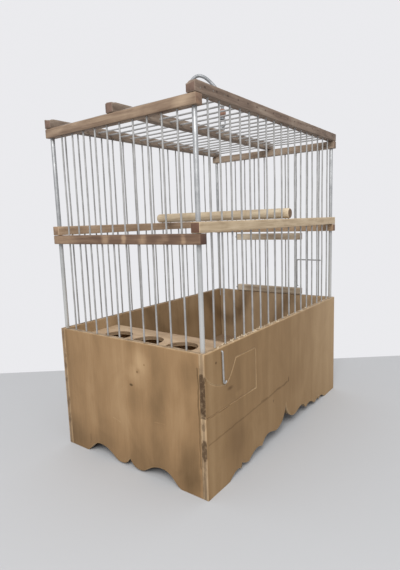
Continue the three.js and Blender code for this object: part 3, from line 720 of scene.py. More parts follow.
RIGHT_ROOF_RAIL = replace(  # with a dark mark before the end of each roof wire
    GREY_RAIL, name="right_roof_rail", base=(121, 103, 89),
    spots=marks(Axis.X, HALF_WIDTH, 9.0, [
        (ROOF_PITCH * (i + 0.5) - POST_Y, 359.0, 1.7, 1.2, -0.55) for i in range(ROOF_WIRES)
    ]),
)
BEAD_WOOD = WoodFinish(
    "bead_wood", "pale_pine",
    dark=(84, 54, 44), base=(138, 106, 90), light=(166, 128, 108),
    worn=(150, 112, 94), cut=(84, 58, 48),
    grain=Axis.Z, across=Axis.X, bands=0.3, band_width=4.0, fibres=0.3, blotches=0.3,
    roughness=0.45,
)
SPLINTER = WoodFinish(
    "splinter", "edge_ply",
    dark=(178, 158, 128), base=(212, 196, 168), light=(232, 220, 196),
    worn=(220, 206, 180), cut=(212, 196, 168), relief=0.0,
)
WIRE = MetalFinish("galvanised_wire", "wire", (172, 171, 169), (140, 139, 137), 0.36, 0.35,
                   spots=14.0, relief=0.0)
ROD = MetalFinish("bright_rod", "rod", (170, 171, 171), (138, 139, 140), 0.36, 0.45,
                  spots=16.0, relief=0.0, low=(197, 197, 194))
HOOK_STEEL = MetalFinish("hook_steel", "hook", (150, 152, 154), (122, 124, 126), 0.42, 0.35,
                         relief=0.0)
NAIL = MetalFinish("nail_steel", "hook", (150, 146, 138), (84, 70, 58), 0.5, 0.7, spots=2.0)
NUT_STEEL = MetalFinish("nut_steel", "hook", (78, 76, 76), (48, 42, 40), 0.5, 0.8, spots=2.0)


# ---------------------------------------------------------------- meshes

CURVE_STEPS = 14
BOARD_ROUNDING = 0.45
RUBBED_RIM = 1.3  # width of the rubbed band along a board's edges
BAR_STEP = 3.0  # between the sections of a sawn bar
BAR_CLEAR = 2.2  # from its ends to the first and last even section
SAW_WAVE = 9.0
BAR_RIM = 1.4  # width of the rubbed band along a sawn bar's corners
BAR_END = 1.6  # and along its ends
BAR_END_SHAPE = ((0.0, 0.45), (0.25, 0.12), (0.7, 0.0))  # how far in, and how much is rounded off
WIRE_SIDES = 10
WIRE_END_SHAPE = ((0.0, 0.45), (0.25, 0.8), (0.6, 1.0))  # how far in, and the width, in radii


def deposit(
    name: str, shape: Shape, finish: Material, body: Body, slot: str,
    replaced: tuple[str, ...] = (), sharp: float = 40.0,
) -> bpy.types.Object:
    """Finishes a piece: metres, shading, material, body and the nodes that it stands for.

    Args:
        name: The piece's name.
        shape: Its mesh in millimetres. It is freed.
        finish: Its material.
        body: The body that it rides on.
        slot: Not used.
        replaced: The CAD nodes that it stands for.
        sharp: Edges with a larger angle, in degrees, stay sharp.

    Returns:
        The new object.
    """
    mesh = bpy.data.meshes.new(name)
    shape.to_mesh(mesh)
    shape.free()
    mesh.transform(Matrix.Scale(MM, 4))
    mesh.polygons.foreach_set("use_smooth", [True] * len(mesh.polygons))
    mesh.set_sharp_from_angle(angle=math.radians(sharp))
    mesh.materials.clear()
    mesh.materials.append(finish)
    made = bpy.data.objects.new(name, mesh)
    bpy.context.scene.collection.objects.link(made)
    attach(made, body.value)
    if replaced:
        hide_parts(*replaced)
    log.info("%s: %d faces on %s", name, len(mesh.polygons), body.value)
    return made


def bezier(points: list[Point2], first: Point2, second: Point2, end: Point2) -> None:
    """Carries a line of points on along a cubic curve."""
    start = points[-1]
    for i in range(1, CURVE_STEPS + 1):
        t = i / CURVE_STEPS
        weights = ((1 - t) ** 3, 3 * t * (1 - t) ** 2, 3 * t * t * (1 - t), t**3)
        corners = (start, first, second, end)
        points.append(tuple(sum(w * c[k] for w, c in zip(weights, corners)) for k in (0, 1)))


def sweep(
    points: list[Point2], end: Point2, reach0: float, reach1: float, rise0: float = 0.0,
    rise1: float = 0.0,
) -> None:
    """Carries an outline on along a smooth curve.

    Args:
        points: The outline so far.
        end: Where the curve ends.
        reach0: How far along the first handle reaches, as a share.
        reach1: The same for the second handle, from the end.
        rise0: The first handle's height over the start.
        rise1: The second handle's height over the end.
    """
    start = points[-1]
    span = end[0] - start[0]
    first = (start[0] + reach0 * span, start[1] + rise0)
    second = (end[0] - reach1 * span, end[1] + rise1)
    bezier(points, first, second, end)


def bend(points: list[Point2], control: Point2, end: Point2) -> None:
    """Carries an outline on along a quadratic curve."""
    start = points[-1]
    first = tuple(start[k] + 2 / 3 * (control[k] - start[k]) for k in (0, 1))
    second = tuple(end[k] + 2 / 3 * (control[k] - end[k]) for k in (0, 1))
    bezier(points, first, second, end)


def marked(shape: Shape) -> tuple:
    """Returns the layers for rubbed corners and for cut faces, made if they aren't there."""
    wear = shape.verts.layers.float.get("wear") or shape.verts.layers.float.new("wear")
    cut = shape.faces.layers.float.get("cut") or shape.faces.layers.float.new("cut")
    return wear, cut


def soften(shape: Shape, width: float) -> None:
    """Rounds off every sharp edge."""
    least = math.radians(35)
    edges = [e for e in shape.edges if e.is_manifold and e.calc_face_angle(0.0) > least]
    bmesh.ops.bevel(shape, geom=edges, offset=width, offset_type="OFFSET", segments=2,
                    profile=0.5, affect="EDGES", clamp_overlap=True)


def mark_board(shape: Shape, axis: Axis) -> None:
    """Marks the rim of a softened board as rubbed, and its edges across an axis as cut."""
    wear, cut = marked(shape)
    shape.normal_update()
    for vertex in shape.verts:
        vertex[wear] = 1.0
    flats = [f for f in shape.faces if abs(f.normal[axis.value]) > 0.999]
    for face in shape.faces:
        face[cut] = 1.0 if abs(face.normal[axis.value]) < 0.5 else 0.0
    for side in (-1, 1):
        group = [f for f in flats if f.normal[axis.value] * side > 0]
        bmesh.ops.inset_region(shape, faces=group, thickness=RUBBED_RIM, use_even_offset=True,
                               use_boundary=True)
        for vertex in {v for f in group for v in f.verts}:
            vertex[wear] = 0.0
    for face in shape.faces:
        if abs(face.normal[axis.value]) > 0.5:
            face[cut] = 0.0


def board(outline: list[Point2], axis: Axis, low: float, high: float) -> Shape:
    """Makes a flat board from an outline.

    Args:
        outline: Points along the other two axes, in the order X, Y, Z.
        axis: The axis across the board.
        low: Where the board starts on that axis.
        high: Where it ends.

    Returns:
        The board's mesh.
    """
    shape = bmesh.new()

    def corner(point: Point2, level: float) -> Vector:
        values = list(point)
        values.insert(axis.value, level)
        return Vector(values)

    bottom = [shape.verts.new(corner(p, low)) for p in outline]
    top = [shape.verts.new(corner(p, high)) for p in outline]
    shape.faces.new(bottom)
    shape.faces.new(top)
    count = len(outline)
    for i in range(count):
        j = (i + 1) % count
        shape.faces.new((bottom[i], bottom[j], top[j], top[i]))
    bmesh.ops.recalc_face_normals(shape, faces=shape.faces)
    soften(shape, BOARD_ROUNDING)
    mark_board(shape, axis)
    bmesh.ops.triangulate(shape, faces=[f for f in shape.faces if len(f.verts) > 4])
    return shape


def loft(shape: Shape, rings: list[list], closed: bool = False) -> list:
    """Skins rings of vertices.

    Args:
        shape: The mesh that holds the rings.
        rings: The rings, each with as many vertices as the next.
        closed: Whether the last ring joins the first. The ends are capped otherwise.

    Returns:
        The two caps, or none.
    """
    count = len(rings[0])
    for here, there in zip(rings, rings[1:] + rings[:1] if closed else rings[1:]):
        for i in range(count):
            j = (i + 1) % count
            shape.faces.new((here[i], here[j], there[j], there[i]))
    caps = [] if closed else [shape.faces.new(ring) for ring in (rings[0], rings[-1])]
    bmesh.ops.recalc_face_normals(shape, faces=shape.faces)
    return caps


def circle(
    shape: Shape, centre: Vector, first: Vector, second: Vector, radius: float, sides: int
) -> list[bmesh.types.BMVert]:
    """Adds a ring of vertices round a centre, in the plane of two directions."""
    angles = [2 * math.pi * s / sides for s in range(sides)]
    return [shape.verts.new(centre + (first * math.cos(a) + second * math.sin(a)) * radius)
            for a in angles]


def rectangle(x0: float, y0: float, x1: float, y1: float) -> list[Point2]:
    """Returns a rectangle's corners."""
    return [(x0, y0), (x1, y0), (x1, y1), (x0, y1)]


@dataclass(frozen=True)
class Chip:
    """A place where a rail's upper side is broken off or worn down."""

    centre: Point3
    radius: float
    depth: float


@dataclass(frozen=True)
class Bar:
    """A sawn bar of wood, a little uneven, with rubbed corners and end grain."""

    low: Point3
    high: Point3
    axis: Axis
    rounding: float = 0.7
    unevenness: float = 0.16
    seed: float = 0.0
    nose: float = 0.0  # radius of the upper corner at the end where the bar starts
    chips: tuple[Chip, ...] = ()

    def section(self, half: Point2, shrink: float) -> list[tuple[float, float, float]]:
        """Returns the bar's section as places and wear, drawn in by an amount."""
        points = []
        radius = self.rounding
        off = radius - shrink
        for quarter, (sx, sy) in enumerate(((1, 1), (-1, 1), (-1, -1), (1, -1))):
            cx = sx * (half[0] - radius)
            cy = sy * (half[1] - radius)
            for step in range(3):
                angle = math.radians(90 * quarter + 45 * step)
                points.append((cx + off * math.cos(angle), cy + off * math.sin(angle), 1.0))
            ahead = math.radians(90 * quarter + 90)
            x, y = cx + off * math.cos(ahead), cy + off * math.sin(ahead)
            span = 2 * (half[0] if quarter % 2 == 0 else half[1]) - 2 * radius
            for along in (BAR_RIM, span - BAR_RIM):
                points.append((x - along * math.sin(ahead), y + along * math.cos(ahead), 0.0))
        return points

    def stations(self, start: float, end: float) -> list[tuple[float, float]]:
        """Returns where the sections stand, and how much each is drawn in."""
        count = max(2, int((end - start) / BAR_STEP))
        even = np.linspace(start + BAR_CLEAR, end - BAR_CLEAR, count)
        return [*((start + back, shrink) for back, shrink in BAR_END_SHAPE),
                *((place, 0.0) for place in even),
                *((end - back, shrink) for back, shrink in reversed(BAR_END_SHAPE))]

    def uneven(self, point: Vector, inward: Vector) -> Vector:
        """Moves a point inward by the saw's unevenness there, the same in each run."""
        shift = noise.noise(point / SAW_WAVE + Vector((self.seed, 3 * self.seed, 7.7)))
        return point + inward * self.unevenness * (0.5 + 0.5 * shift)

    def mesh(self) -> Shape:
        """Builds the bar by lofting its section along the axis."""
        a = self.axis.value
        others = [k for k in range(3) if k != a]
        half = tuple((self.high[k] - self.low[k]) / 2 for k in others)
        middle = [(self.high[k] + self.low[k]) / 2 for k in range(3)]
        start, end = self.low[a], self.high[a]
        shape = bmesh.new()
        wear, cut = marked(shape)
        rings = []
        for place, shrink in self.stations(start, end):
            ring = []
            end_rub = max(0.0, 1 - min(place - start, end - place) / BAR_END)
            for u, v, rub in self.section(half, shrink):
                spot, inward = [0.0, 0.0, 0.0], [0.0, 0.0, 0.0]
                spot[a] = place
                for k, off in zip(others, (u, v)):
                    spot[k] = middle[k] + off
                    inward[k] = -math.copysign(1, off)
                point = self.uneven(Vector(spot), Vector(inward))
                ring.append(shape.verts.new(self.shaped(point)))
                ring[-1][wear] = max(rub, end_rub)
            rings.append(ring)
        for cap in loft(shape, rings):
            cap[cut] = 1.0
        return shape

    def shaped(self, point: Vector) -> Vector:
        """Moves a point for the rounded nose and the chips."""
        a = self.axis.value
        top = self.high[2]
        if self.nose:
            along = point[a] - self.low[a]
            rise = point.z - (top - self.nose)
            if along < self.nose and rise > 0:
                room = math.sqrt(max(0.0, self.nose**2 - (self.nose - along) ** 2))
                point.z = min(point.z, top - self.nose + room)
        for chip in self.chips:
            off = (point - Vector(chip.centre)).length / chip.radius
            if off < 1:
                ragged = 0.6 + 0.8 * noise.noise(point / 1.7)
                point.z -= chip.depth * (1 - off * off) * ragged
        return point


def rail(axis: Axis, side: int, level: float, **looks: object) -> Bar:
    """Returns a rail at one side of the cage.

    Args:
        axis: The axis that it runs along. The rails along Y lie on those along X.
        side: -1 for the near end or the left side, 1 for the others.
        level: The height where the lower rails start.
        looks: More of the bar's values.

    Returns:
        The rail as a bar.
    """
    if axis is Axis.X:
        near, far = sorted((side * HALF_LENGTH, side * (HALF_LENGTH - RAIL)))
        return Bar((-HALF_WIDTH, near, level), (HALF_WIDTH, far, level + CROSS_RAIL), axis, **looks)
    left, right = sorted((side * HALF_WIDTH, side * (HALF_WIDTH - RAIL)))
    return Bar((left, -HALF_LENGTH, level + RAIL), (right, HALF_LENGTH, level + 2 * RAIL), axis,
               **looks)


def tube(path: list[Vector], radius: float, sides: int = WIRE_SIDES) -> Shape:
    """Makes a round wire with rounded ends along a path.

    Args:
        path: The points of its centreline.
        radius: Its radius.
        sides: How many sides its section has.

    Returns:
        The wire's mesh.
    """
    shape = bmesh.new()
    last = len(path) - 1
    tangents = [(path[min(i + 1, last)] - path[max(i - 1, 0)]).normalized()
                for i in range(len(path))]
    side = tangents[0].orthogonal().normalized()
    rings = []
    for i, (point, tangent) in enumerate(zip(path, tangents)):
        side = (side - tangent * side.dot(tangent)).normalized()
        other = tangent.cross(side)
        steps, inward = [(0.0, 1.0)], tangent
        if i == 0:
            steps = WIRE_END_SHAPE
        elif i == last:
            steps, inward = reversed(WIRE_END_SHAPE), -tangent
        for depth, width in steps:
            centre = point + inward * radius * depth
            rings.append(circle(shape, centre, side, other, radius * width, sides))
    loft(shape, rings)
    return shape


def closed_tube(path: list[Vector], radius: float) -> Shape:
    """Makes a loop of round wire through points in one plane."""
    shape = bmesh.new()
    count = len(path)
    normal = (path[1] - path[0]).cross(path[count // 3] - path[0]).normalized()
    rings = []
    for i, point in enumerate(path):
        tangent = (path[(i + 1) % count] - path[i - 1]).normalized()
        side = tangent.cross(normal).normalized()
        rings.append(circle(shape, point, side, normal, radius, WIRE_SIDES))
    loft(shape, rings, closed=True)
    return shape


def turns(degrees: float, steps: int) -> list[float]:
    """Returns the angles, in radians, of even steps from 0, without 0 itself."""
    return [math.radians(degrees * i / steps) for i in range(1, steps + 1)]


def smooth_path(points: list[Vector], steps: int) -> list[Vector]:
    """Runs a smooth line through points, with so many steps between two of them."""
    ends = [2 * points[0] - points[1], *points, 2 * points[-1] - points[-2]]
    line = []
    for i in range(1, len(ends) - 2):
        p0, p1, p2, p3 = ends[i - 1:i + 3]
        for k in range(steps):
            t = k / steps
            line.append(0.5 * (2 * p1 + (p2 - p0) * t + (2 * p0 - 5 * p1 + 4 * p2 - p3) * t * t
                               + (3 * p1 - p0 - 3 * p2 + p3) * t**3))
    line.append(points[-1])
    return line


def merged(*shapes: Shape) -> Shape:
    """Puts several meshes into the first and frees the others."""
    first = shapes[0]
    for other in shapes[1:]:
        mesh = bpy.data.meshes.new("part")
        other.to_mesh(mesh)
        other.free()
        first.from_mesh(mesh)
        bpy.data.meshes.remove(mesh)
    return first


def without(shape: Shape, tools: list[Shape]) -> Shape:
    """Cuts other shapes out of one."""
    def holder(name: str, content: Shape) -> bpy.types.Object:
        mesh = bpy.data.meshes.new(name)
        content.to_mesh(mesh)
        content.free()
        made = bpy.data.objects.new(name, mesh)
        bpy.context.scene.collection.objects.link(made)
        return made

    body = holder("cut_body", shape)
    cutters = [holder(f"cutter_{i}", tool) for i, tool in enumerate(tools)]
    for cutter in cutters:
        modifier = body.modifiers.new("cut", "BOOLEAN")
        modifier.operation = "DIFFERENCE"
        modifier.solver = "EXACT"
        modifier.object = cutter
    graph = bpy.context.evaluated_depsgraph_get()
    mesh = bpy.data.meshes.new_from_object(body.evaluated_get(graph))
    result = bmesh.new()
    result.from_mesh(mesh)
    for item in (body, *cutters):
        bpy.data.objects.remove(item)
    return result


# ---------------------------------------------------------------- geometry node trees


class Repeater:
    """A Geometry Nodes tree that makes what repeats, and turns it into a plain mesh."""

    def __init__(self, name: str, inputs: dict[str, str]) -> None:
        """Starts a tree with named inputs.

        Args:
            name: The tree's name.
            inputs: Socket types by input name.
        """
        self.tree = bpy.data.node_groups.new(name, "GeometryNodeTree")
        self.sockets = {
            label: self.tree.interface.new_socket(label, in_out="INPUT", socket_type=kind)
            for label, kind in inputs.items()
        }
        self.tree.interface.new_socket("Geometry", in_out="OUTPUT",
                                       socket_type="NodeSocketGeometry")
        self.inputs = self.node("NodeGroupInput").outputs
        self.output = self.node("NodeGroupOutput").inputs[0]

    def node(self, kind: str, values: dict | None = None, **settings: object) -> bpy.types.Node:
        """Adds a node, sets its properties and feeds its inputs by name."""
        made = self.tree.nodes.new(kind)
        for name, value in settings.items():
            setattr(made, name, value)
        for name, value in (values or {}).items():
            target = made.inputs[name]
            if isinstance(value, Socket):
                self.tree.links.new(value, target)
            else:
                target.default_value = value
        return made

    def close(self, geometry: Socket, material: Material) -> None:
        """Ends the tree with real meshes and a material."""
        real = self.node("GeometryNodeRealizeInstances", {"Geometry": geometry})
        dressed = self.node("GeometryNodeSetMaterial",
                            {"Geometry": real.outputs[0], "Material": material})
        self.tree.links.new(dressed.outputs[0], self.output)

    def run(self, start: Shape | None = None, **values: object) -> Shape:
        """Evaluates the tree on a mesh with the inputs given by name.

        Args:
            start: The mesh that the tree works on, or none.
            values: The inputs' values, with _ for a space in a name.

        Returns:
            The result as a plain mesh.
        """
        mesh = bpy.data.meshes.new("seedbed")
        if start:
            start.to_mesh(mesh)
            start.free()
        holder = bpy.data.objects.new("seedbed", mesh)
        bpy.context.scene.collection.objects.link(holder)
        modifier = holder.modifiers.new("repeat", "NODES")
        modifier.node_group = self.tree
        for label, value in values.items():
            modifier[self.sockets[label.replace("_", " ")].identifier] = value
        graph = bpy.context.evaluated_depsgraph_get()
        result = bpy.data.meshes.new_from_object(holder.evaluated_get(graph))
        holder.modifiers.clear()
        shape = bmesh.new()
        shape.from_mesh(result)
        bpy.data.objects.remove(holder)
        return shape


def wire_repeater(material: Material) -> Repeater:
    """Builds the tree for a row of nearly straight wires."""
    made = Repeater("wire_row", {
        "Count": "NodeSocketInt", "Start": "NodeSocketVector", "Step": "NodeSocketVector",
        "Run": "NodeSocketVector", "Radius": "NodeSocketFloat", "Bow": "NodeSocketFloat",
        "Seed": "NodeSocketFloat", "Sides": "NodeSocketInt",
    })
    points = made.node("GeometryNodeMeshLine", {
        "Count": made.inputs["Count"], "Start Location": made.inputs["Start"],
        "Offset": made.inputs["Step"],
    }, mode="OFFSET")
    line = made.node("GeometryNodeCurvePrimitiveLine", {"End": made.inputs["Run"]}, mode="POINTS")
    fine = made.node("GeometryNodeResampleCurve", {"Curve": line.outputs[0], "Count": 15})
    placed = made.node("GeometryNodeInstanceOnPoints",
                       {"Points": points.outputs[0], "Instance": fine.outputs[0]})
    real = made.node("GeometryNodeRealizeInstances", {"Geometry": placed.outputs[0]})
    place = made.node("GeometryNodeInputPosition")
    parameter = made.node("GeometryNodeSplineParameter")
    turn = made.node("ShaderNodeMath", {0: parameter.outputs["Factor"], 1: math.pi},
                     operation="MULTIPLY")
    arch = made.node("ShaderNodeMath", {0: turn.outputs[0]}, operation="SINE")
    ragged = made.node("ShaderNodeTexNoise", {
        "Vector": place.outputs[0], "W": made.inputs["Seed"], "Scale": 0.021, "Detail": 1.0,
    }, noise_dimensions="4D")
    centred = made.node("ShaderNodeVectorMath", {0: ragged.outputs["Color"], 1: (0.5, 0.5, 0.5)},
                        operation="SUBTRACT")
    amount = made.node("ShaderNodeMath", {0: arch.outputs[0], 1: made.inputs["Bow"]},
                       operation="MULTIPLY")
    shift = made.node("ShaderNodeVectorMath", {0: centred.outputs[0], "Scale": amount.outputs[0]},
                      operation="SCALE")
    bowed = made.node("GeometryNodeSetPosition",
                      {"Geometry": real.outputs[0], "Offset": shift.outputs[0]})
    section = made.node("GeometryNodeCurvePrimitiveCircle", {
        "Resolution": made.inputs["Sides"], "Radius": made.inputs["Radius"],
    }, mode="RADIUS")
    skin = made.node("GeometryNodeCurveToMesh", {
        "Curve": bowed.outputs[0], "Profile Curve": section.outputs[0], "Fill Caps": True,
    })
    made.close(skin.outputs[0], material)
    return made


def stud_repeater(material: Material, segments: int = 10) -> Repeater:
    """Builds the tree that sets a small dome or sliver on each point, facing as it says."""
    made = Repeater("studs", {
        "Geometry": "NodeSocketGeometry", "Radius": "NodeSocketFloat",
        "Height": "NodeSocketFloat", "Spread": "NodeSocketFloat", "Seed": "NodeSocketInt",
    })
    dome = made.node("GeometryNodeMeshUVSphere", {"Segments": segments, "Rings": 5, "Radius": 1.0})
    facing = made.node("GeometryNodeInputNamedAttribute", {"Name": "facing"},
                       data_type="FLOAT_VECTOR")
    turned = made.node("FunctionNodeAlignRotationToVector", {"Vector": facing.outputs[0]}, axis="Z")
    size = made.node("ShaderNodeCombineXYZ", {
        "X": made.inputs["Radius"], "Y": made.inputs["Radius"], "Z": made.inputs["Height"],
    })
    least = made.node("ShaderNodeMath", {0: 1.0, 1: made.inputs["Spread"]}, operation="SUBTRACT")
    most = made.node("ShaderNodeMath", {0: 1.0, 1: made.inputs["Spread"]}, operation="ADD")
    share = made.node("FunctionNodeRandomValue", {
        "Min": least.outputs[0], "Max": most.outputs[0], "Seed": made.inputs["Seed"],
    }, data_type="FLOAT")
    scaled = made.node("ShaderNodeVectorMath",
                       {0: size.outputs[0], "Scale": share.outputs[1]}, operation="SCALE")
    placed = made.node("GeometryNodeInstanceOnPoints", {
        "Points": made.inputs["Geometry"], "Instance": dome.outputs[0],
        "Rotation": turned.outputs[0], "Scale": scaled.outputs[0],
    })
    made.close(placed.outputs[0], material)
    return made


def seedbed(places: list[tuple[Point3, Point3]]) -> Shape:
    """Makes bare points that face given ways, for the stud tree."""
    shape = bmesh.new()
    facing = shape.verts.layers.float_vector.new("facing")
    for spot, way in places:
        shape.verts.new(spot)[facing] = Vector(way)
    return shape


# ---------------------------------------------------------------- the cage's parts

USUAL_BOW = 1.4  # how far a long wire wanders


@dataclass
class Paints:
    """The finishes, each built once, and the way that pieces get them."""

    made: dict[str, Material] = field(default_factory=dict)

    def material(self, finish: WoodFinish | MetalFinish) -> Material:
        """Returns a finish's material, built at its first use."""
        if finish.name not in self.made:
            self.made[finish.name] = finish.material()
        return self.made[finish.name]

    def dress(
        self, name: str, shape: Shape, finish: WoodFinish | MetalFinish, body: Body = Body.FRAME,
        replaced: tuple[str, ...] = (), sharp: float = 40.0,
    ) -> bpy.types.Object:
        """Finishes a piece with one of the finishes."""
        return deposit(name, shape, self.material(finish), body, finish.slot, replaced, sharp)


@dataclass
class BoxPanels:
    """The four panels of the plywood box, with their scalloped skirts."""

    drawer_low: float = 78.4
    drawer_high: float = 120.0
    lobe_high: float = 121.6
    drawer_far: float = -70.5
    drawer_corner: float = 3.5
    drawer_gap: float = 0.12

    def end_outline(self) -> list[Point2]:
        """Returns an end panel's outline, across and up."""
        half = [(0.0, 10.5)]
        sweep(half, (14.0, 2.2), 0.25, 0.5, -5.81)
        sweep(half, (45.0, 13.5), 0.32, 0.55)
        sweep(half, (68.0, 0.0), 0.52, 0.35, 0.0, 3.375)
        half += [(INSIDE_X, 0.0), (INSIDE_X, BOX_HEIGHT)]
        return half + [(-x, z) for x, z in reversed(half[1:])]

    def side_half(self) -> list[Point2]:
        """Returns half of a side panel's skirt, from its middle to its end."""
        half = [(0.0, 34.5)]
        bend(half, (6.25, 12.0), (25.0, 12.0))
        sweep(half, (59.0, 8.0), 0.24, 0.32, 0.0, 16.0)
        sweep(half, (87.0, 4.0), 0.25, 0.4, 4.0, 8.8)
        bend(half, (94.94, 5.0), (101.0, 9.5))
        half.append((102.515, 3.5))
        sweep(half, (124.0, 0.0), 0.25, 0.37, 4.9, 5.95)
        half.append((HALF_LENGTH, 0.0))
        return half

    def lobe_line(self, gap: float) -> list[Point2]:
        """Returns the line over the drawer's front, from its near end to its lower far corner."""
        line = [(-HALF_LENGTH, self.drawer_high + gap)]
        sweep(line, (-127.5, 100.4 + gap), 0.1, 0.5, -10.98, 2.94)
        sweep(line, (-108.8, self.lobe_high + gap), 0.37, 0.32, 1.7, -10.18)
        radius = self.drawer_corner
        centre = (self.drawer_far - radius, self.lobe_high - radius)
        for step in range(7):
            angle = math.radians(90 - 15 * step)
            line.append((centre[0] + (radius + gap) * math.cos(angle),
                         centre[1] + (radius + gap) * math.sin(angle)))
        line.append((self.drawer_far + gap, self.drawer_low - gap))
        return line

    def side_outline(self, drawer: bool) -> list[Point2]:
        """Returns a side panel's outline, along and up, with or without the drawer's opening."""
        half = self.side_half()
        outline = half + [(HALF_LENGTH, BOX_HEIGHT), (-HALF_LENGTH, BOX_HEIGHT)]
        if drawer:
            gap = self.drawer_gap
            outline += self.lobe_line(gap) + [(-HALF_LENGTH, self.drawer_low - gap)]
        return outline + [(-y, z) for y, z in reversed(half[1:])]

    def build(self, paints: Paints) -> None:
        """Builds the four panels."""
        ends = self.end_outline()
        paints.dress("near_panel", board(ends, Axis.Y, -HALF_LENGTH, PANEL - HALF_LENGTH),
                     NEAR_PLY, replaced=("near_end_panel",))
        paints.dress("far_panel", board(ends, Axis.Y, HALF_LENGTH - PANEL, HALF_LENGTH),
                     FAR_PLY, replaced=("far_end_panel",))
        left = board(self.side_outline(False), Axis.X, -HALF_WIDTH, PANEL - HALF_WIDTH)
        paints.dress("left_panel", left, LEFT_PLY, replaced=("left_side_panel",))
        right = board(self.side_outline(True), Axis.X, HALF_WIDTH - PANEL, HALF_WIDTH)
        paints.dress("right_panel", right, SIDE_PLY, replaced=("right_side_panel",))


@dataclass
class FeederDrawer:
    """The drawer for seed, with its front, its tray and its two dividers."""

    panels: BoxPanels
    left: float = -93.6
    right: float = 93.8
    near: float = -153.6
    far: float = -86.4
    floor_low: float = 78.4
    floor_high: float = 81.4
    wall_high: float = 99.6
    wall: float = 4.0
    divider: float = 3.0
    divider_places: tuple[float, ...] = (-30.0, 17.0)

    def build(self, paints: Paints) -> None:
        """Builds the drawer's boards."""
        body = Body.DRAWER
        front = self.panels.lobe_line(0.0) + [(-HALF_LENGTH, self.panels.drawer_low)]
        face = board(front, Axis.X, HALF_WIDTH - PANEL, HALF_WIDTH)
        for vertex in face.verts:  # the bevel at the lobe's sharp end stands out otherwise
            vertex.co.y = max(vertex.co.y, -HALF_LENGTH)
        paints.dress("drawer_face", face, DRAWER_PLY, body, ("drawer_front",))
        floor = board(rectangle(self.left, self.near, self.right, self.far), Axis.Z,
                      self.floor_low, self.floor_high)
        paints.dress("tray_floor", floor, TRAY_PLY, body, ("drawer_floor",))
        wall_low = self.floor_high + FIT_GAP
        along = rectangle(self.left, wall_low, self.right, self.wall_high)
        for side, low in (("near", self.near), ("far", self.far - self.wall)):
            wall = board(along, Axis.Y, low, low + self.wall)
            paints.dress(f"tray_{side}_side", wall, TRAY_PLY, body, (f"drawer_{side}_side",))
        inset = self.wall + FIT_GAP
        across = rectangle(self.near + inset, wall_low, self.far - inset, self.wall_high)
        back = board(across, Axis.X, self.left, self.left + self.wall)
        paints.dress("tray_back", back, TRAY_PLY, body, ("drawer_back",))
        for i, place in enumerate(self.divider_places, 1):
            divider = board(across, Axis.X, place - self.divider / 2, place + self.divider / 2)
            paints.dress(f"tray_divider_{i}", divider, TRAY_PLY, body, (f"drawer_divider_{i}",))


@dataclass
class Inside:
    """The floor, the feeder board with its holes, and what closes off the drawer's space."""

    hole_radius: float = 17.5
    holes: tuple[float, ...] = (-53.5, -6.5, 40.5)
    hole_line: float = -118.0
    board_low: float = 121.6
    board_high: float = 125.6
    board_far: float = -82.0
    floor_low: float = 53.0
    floor_high: float = 58.0
    wall: float = 4.0
    slip_low: float = 70.0
    slip: float = 8.0  # width and height of the slips that the drawer runs on

    def feeder_board(self) -> Shape:
        """Makes the board over the drawer, with three sawn holes."""
        shape = board(rectangle(-INSIDE_X, -INSIDE_Y, INSIDE_X, self.board_far), Axis.Z,
                      self.board_low, self.board_high)
        height = (self.board_low + self.board_high) / 2
        cutters = []
        for x in self.holes:
            tool = bmesh.new()
            wear, cut = marked(tool)
            bmesh.ops.create_cone(
                tool, cap_ends=True, segments=56, radius1=self.hole_radius,
                radius2=self.hole_radius, depth=12.0,
                matrix=Matrix.Translation((x, self.hole_line, height)),
            )
            for face in tool.faces:
                face[cut] = 1.0
            for vertex in tool.verts:
                vertex[wear] = 0.9
            cutters.append(tool)
        return without(shape, cutters)

    def build(self, paints: Paints) -> None:
        """Builds the boards inside the box."""
        floor = board(rectangle(-INSIDE_X, -INSIDE_Y, INSIDE_X, INSIDE_Y), Axis.Z, self.floor_low,
                      self.floor_high)
        paints.dress("floor_sheet", floor, FLOOR_PLY, replaced=("floor_board",))
        paints.dress("feeder_top", self.feeder_board(), FEEDER_PLY, replaced=("feeder_board",),
                     sharp=30.0)
        wall_near = self.board_far - self.wall
        outline = rectangle(-INSIDE_X, self.floor_high + FIT_GAP, INSIDE_X,
                            self.board_low - FIT_GAP)
        wall = board(outline, Axis.Y, wall_near, self.board_far)
        paints.dress("partition", wall, TRAY_PLY, replaced=("drawer_partition",))
        for side, low in (("near", -INSIDE_Y), ("far", wall_near - FIT_GAP - self.slip)):
            runner = Bar((-INSIDE_X, low, self.slip_low),
                         (INSIDE_X, low + self.slip, self.slip_low + self.slip), Axis.X,
                         unevenness=0.08)
            paints.dress(f"{side}_slip", runner.mesh(), TRAY_PLY, replaced=(f"{side}_runner",))


@dataclass
class Wires:
    """The rows of thin wires, all drawn by one tree."""

    repeater: Repeater
    rows: int = 0

    def row(
        self, start: Point3, step: Point3, count: int, run: Point3, bow: float = USUAL_BOW
    ) -> Shape:
        """Draws a row of wires.

        Args:
            start: The first wire's lower end.
            step: From one wire to the next.
            count: How many there are.
            run: From a wire's one end to its other.
            bow: How far the wires wander.

        Returns:
            The wires' mesh.
        """
        self.rows += 1
        return self.repeater.run(
            Count=count, Start=start, Step=step, Run=run, Radius=WIRE_RADIUS,
            Bow=bow, Seed=3.7 * self.rows, Sides=WIRE_SIDES,
        )


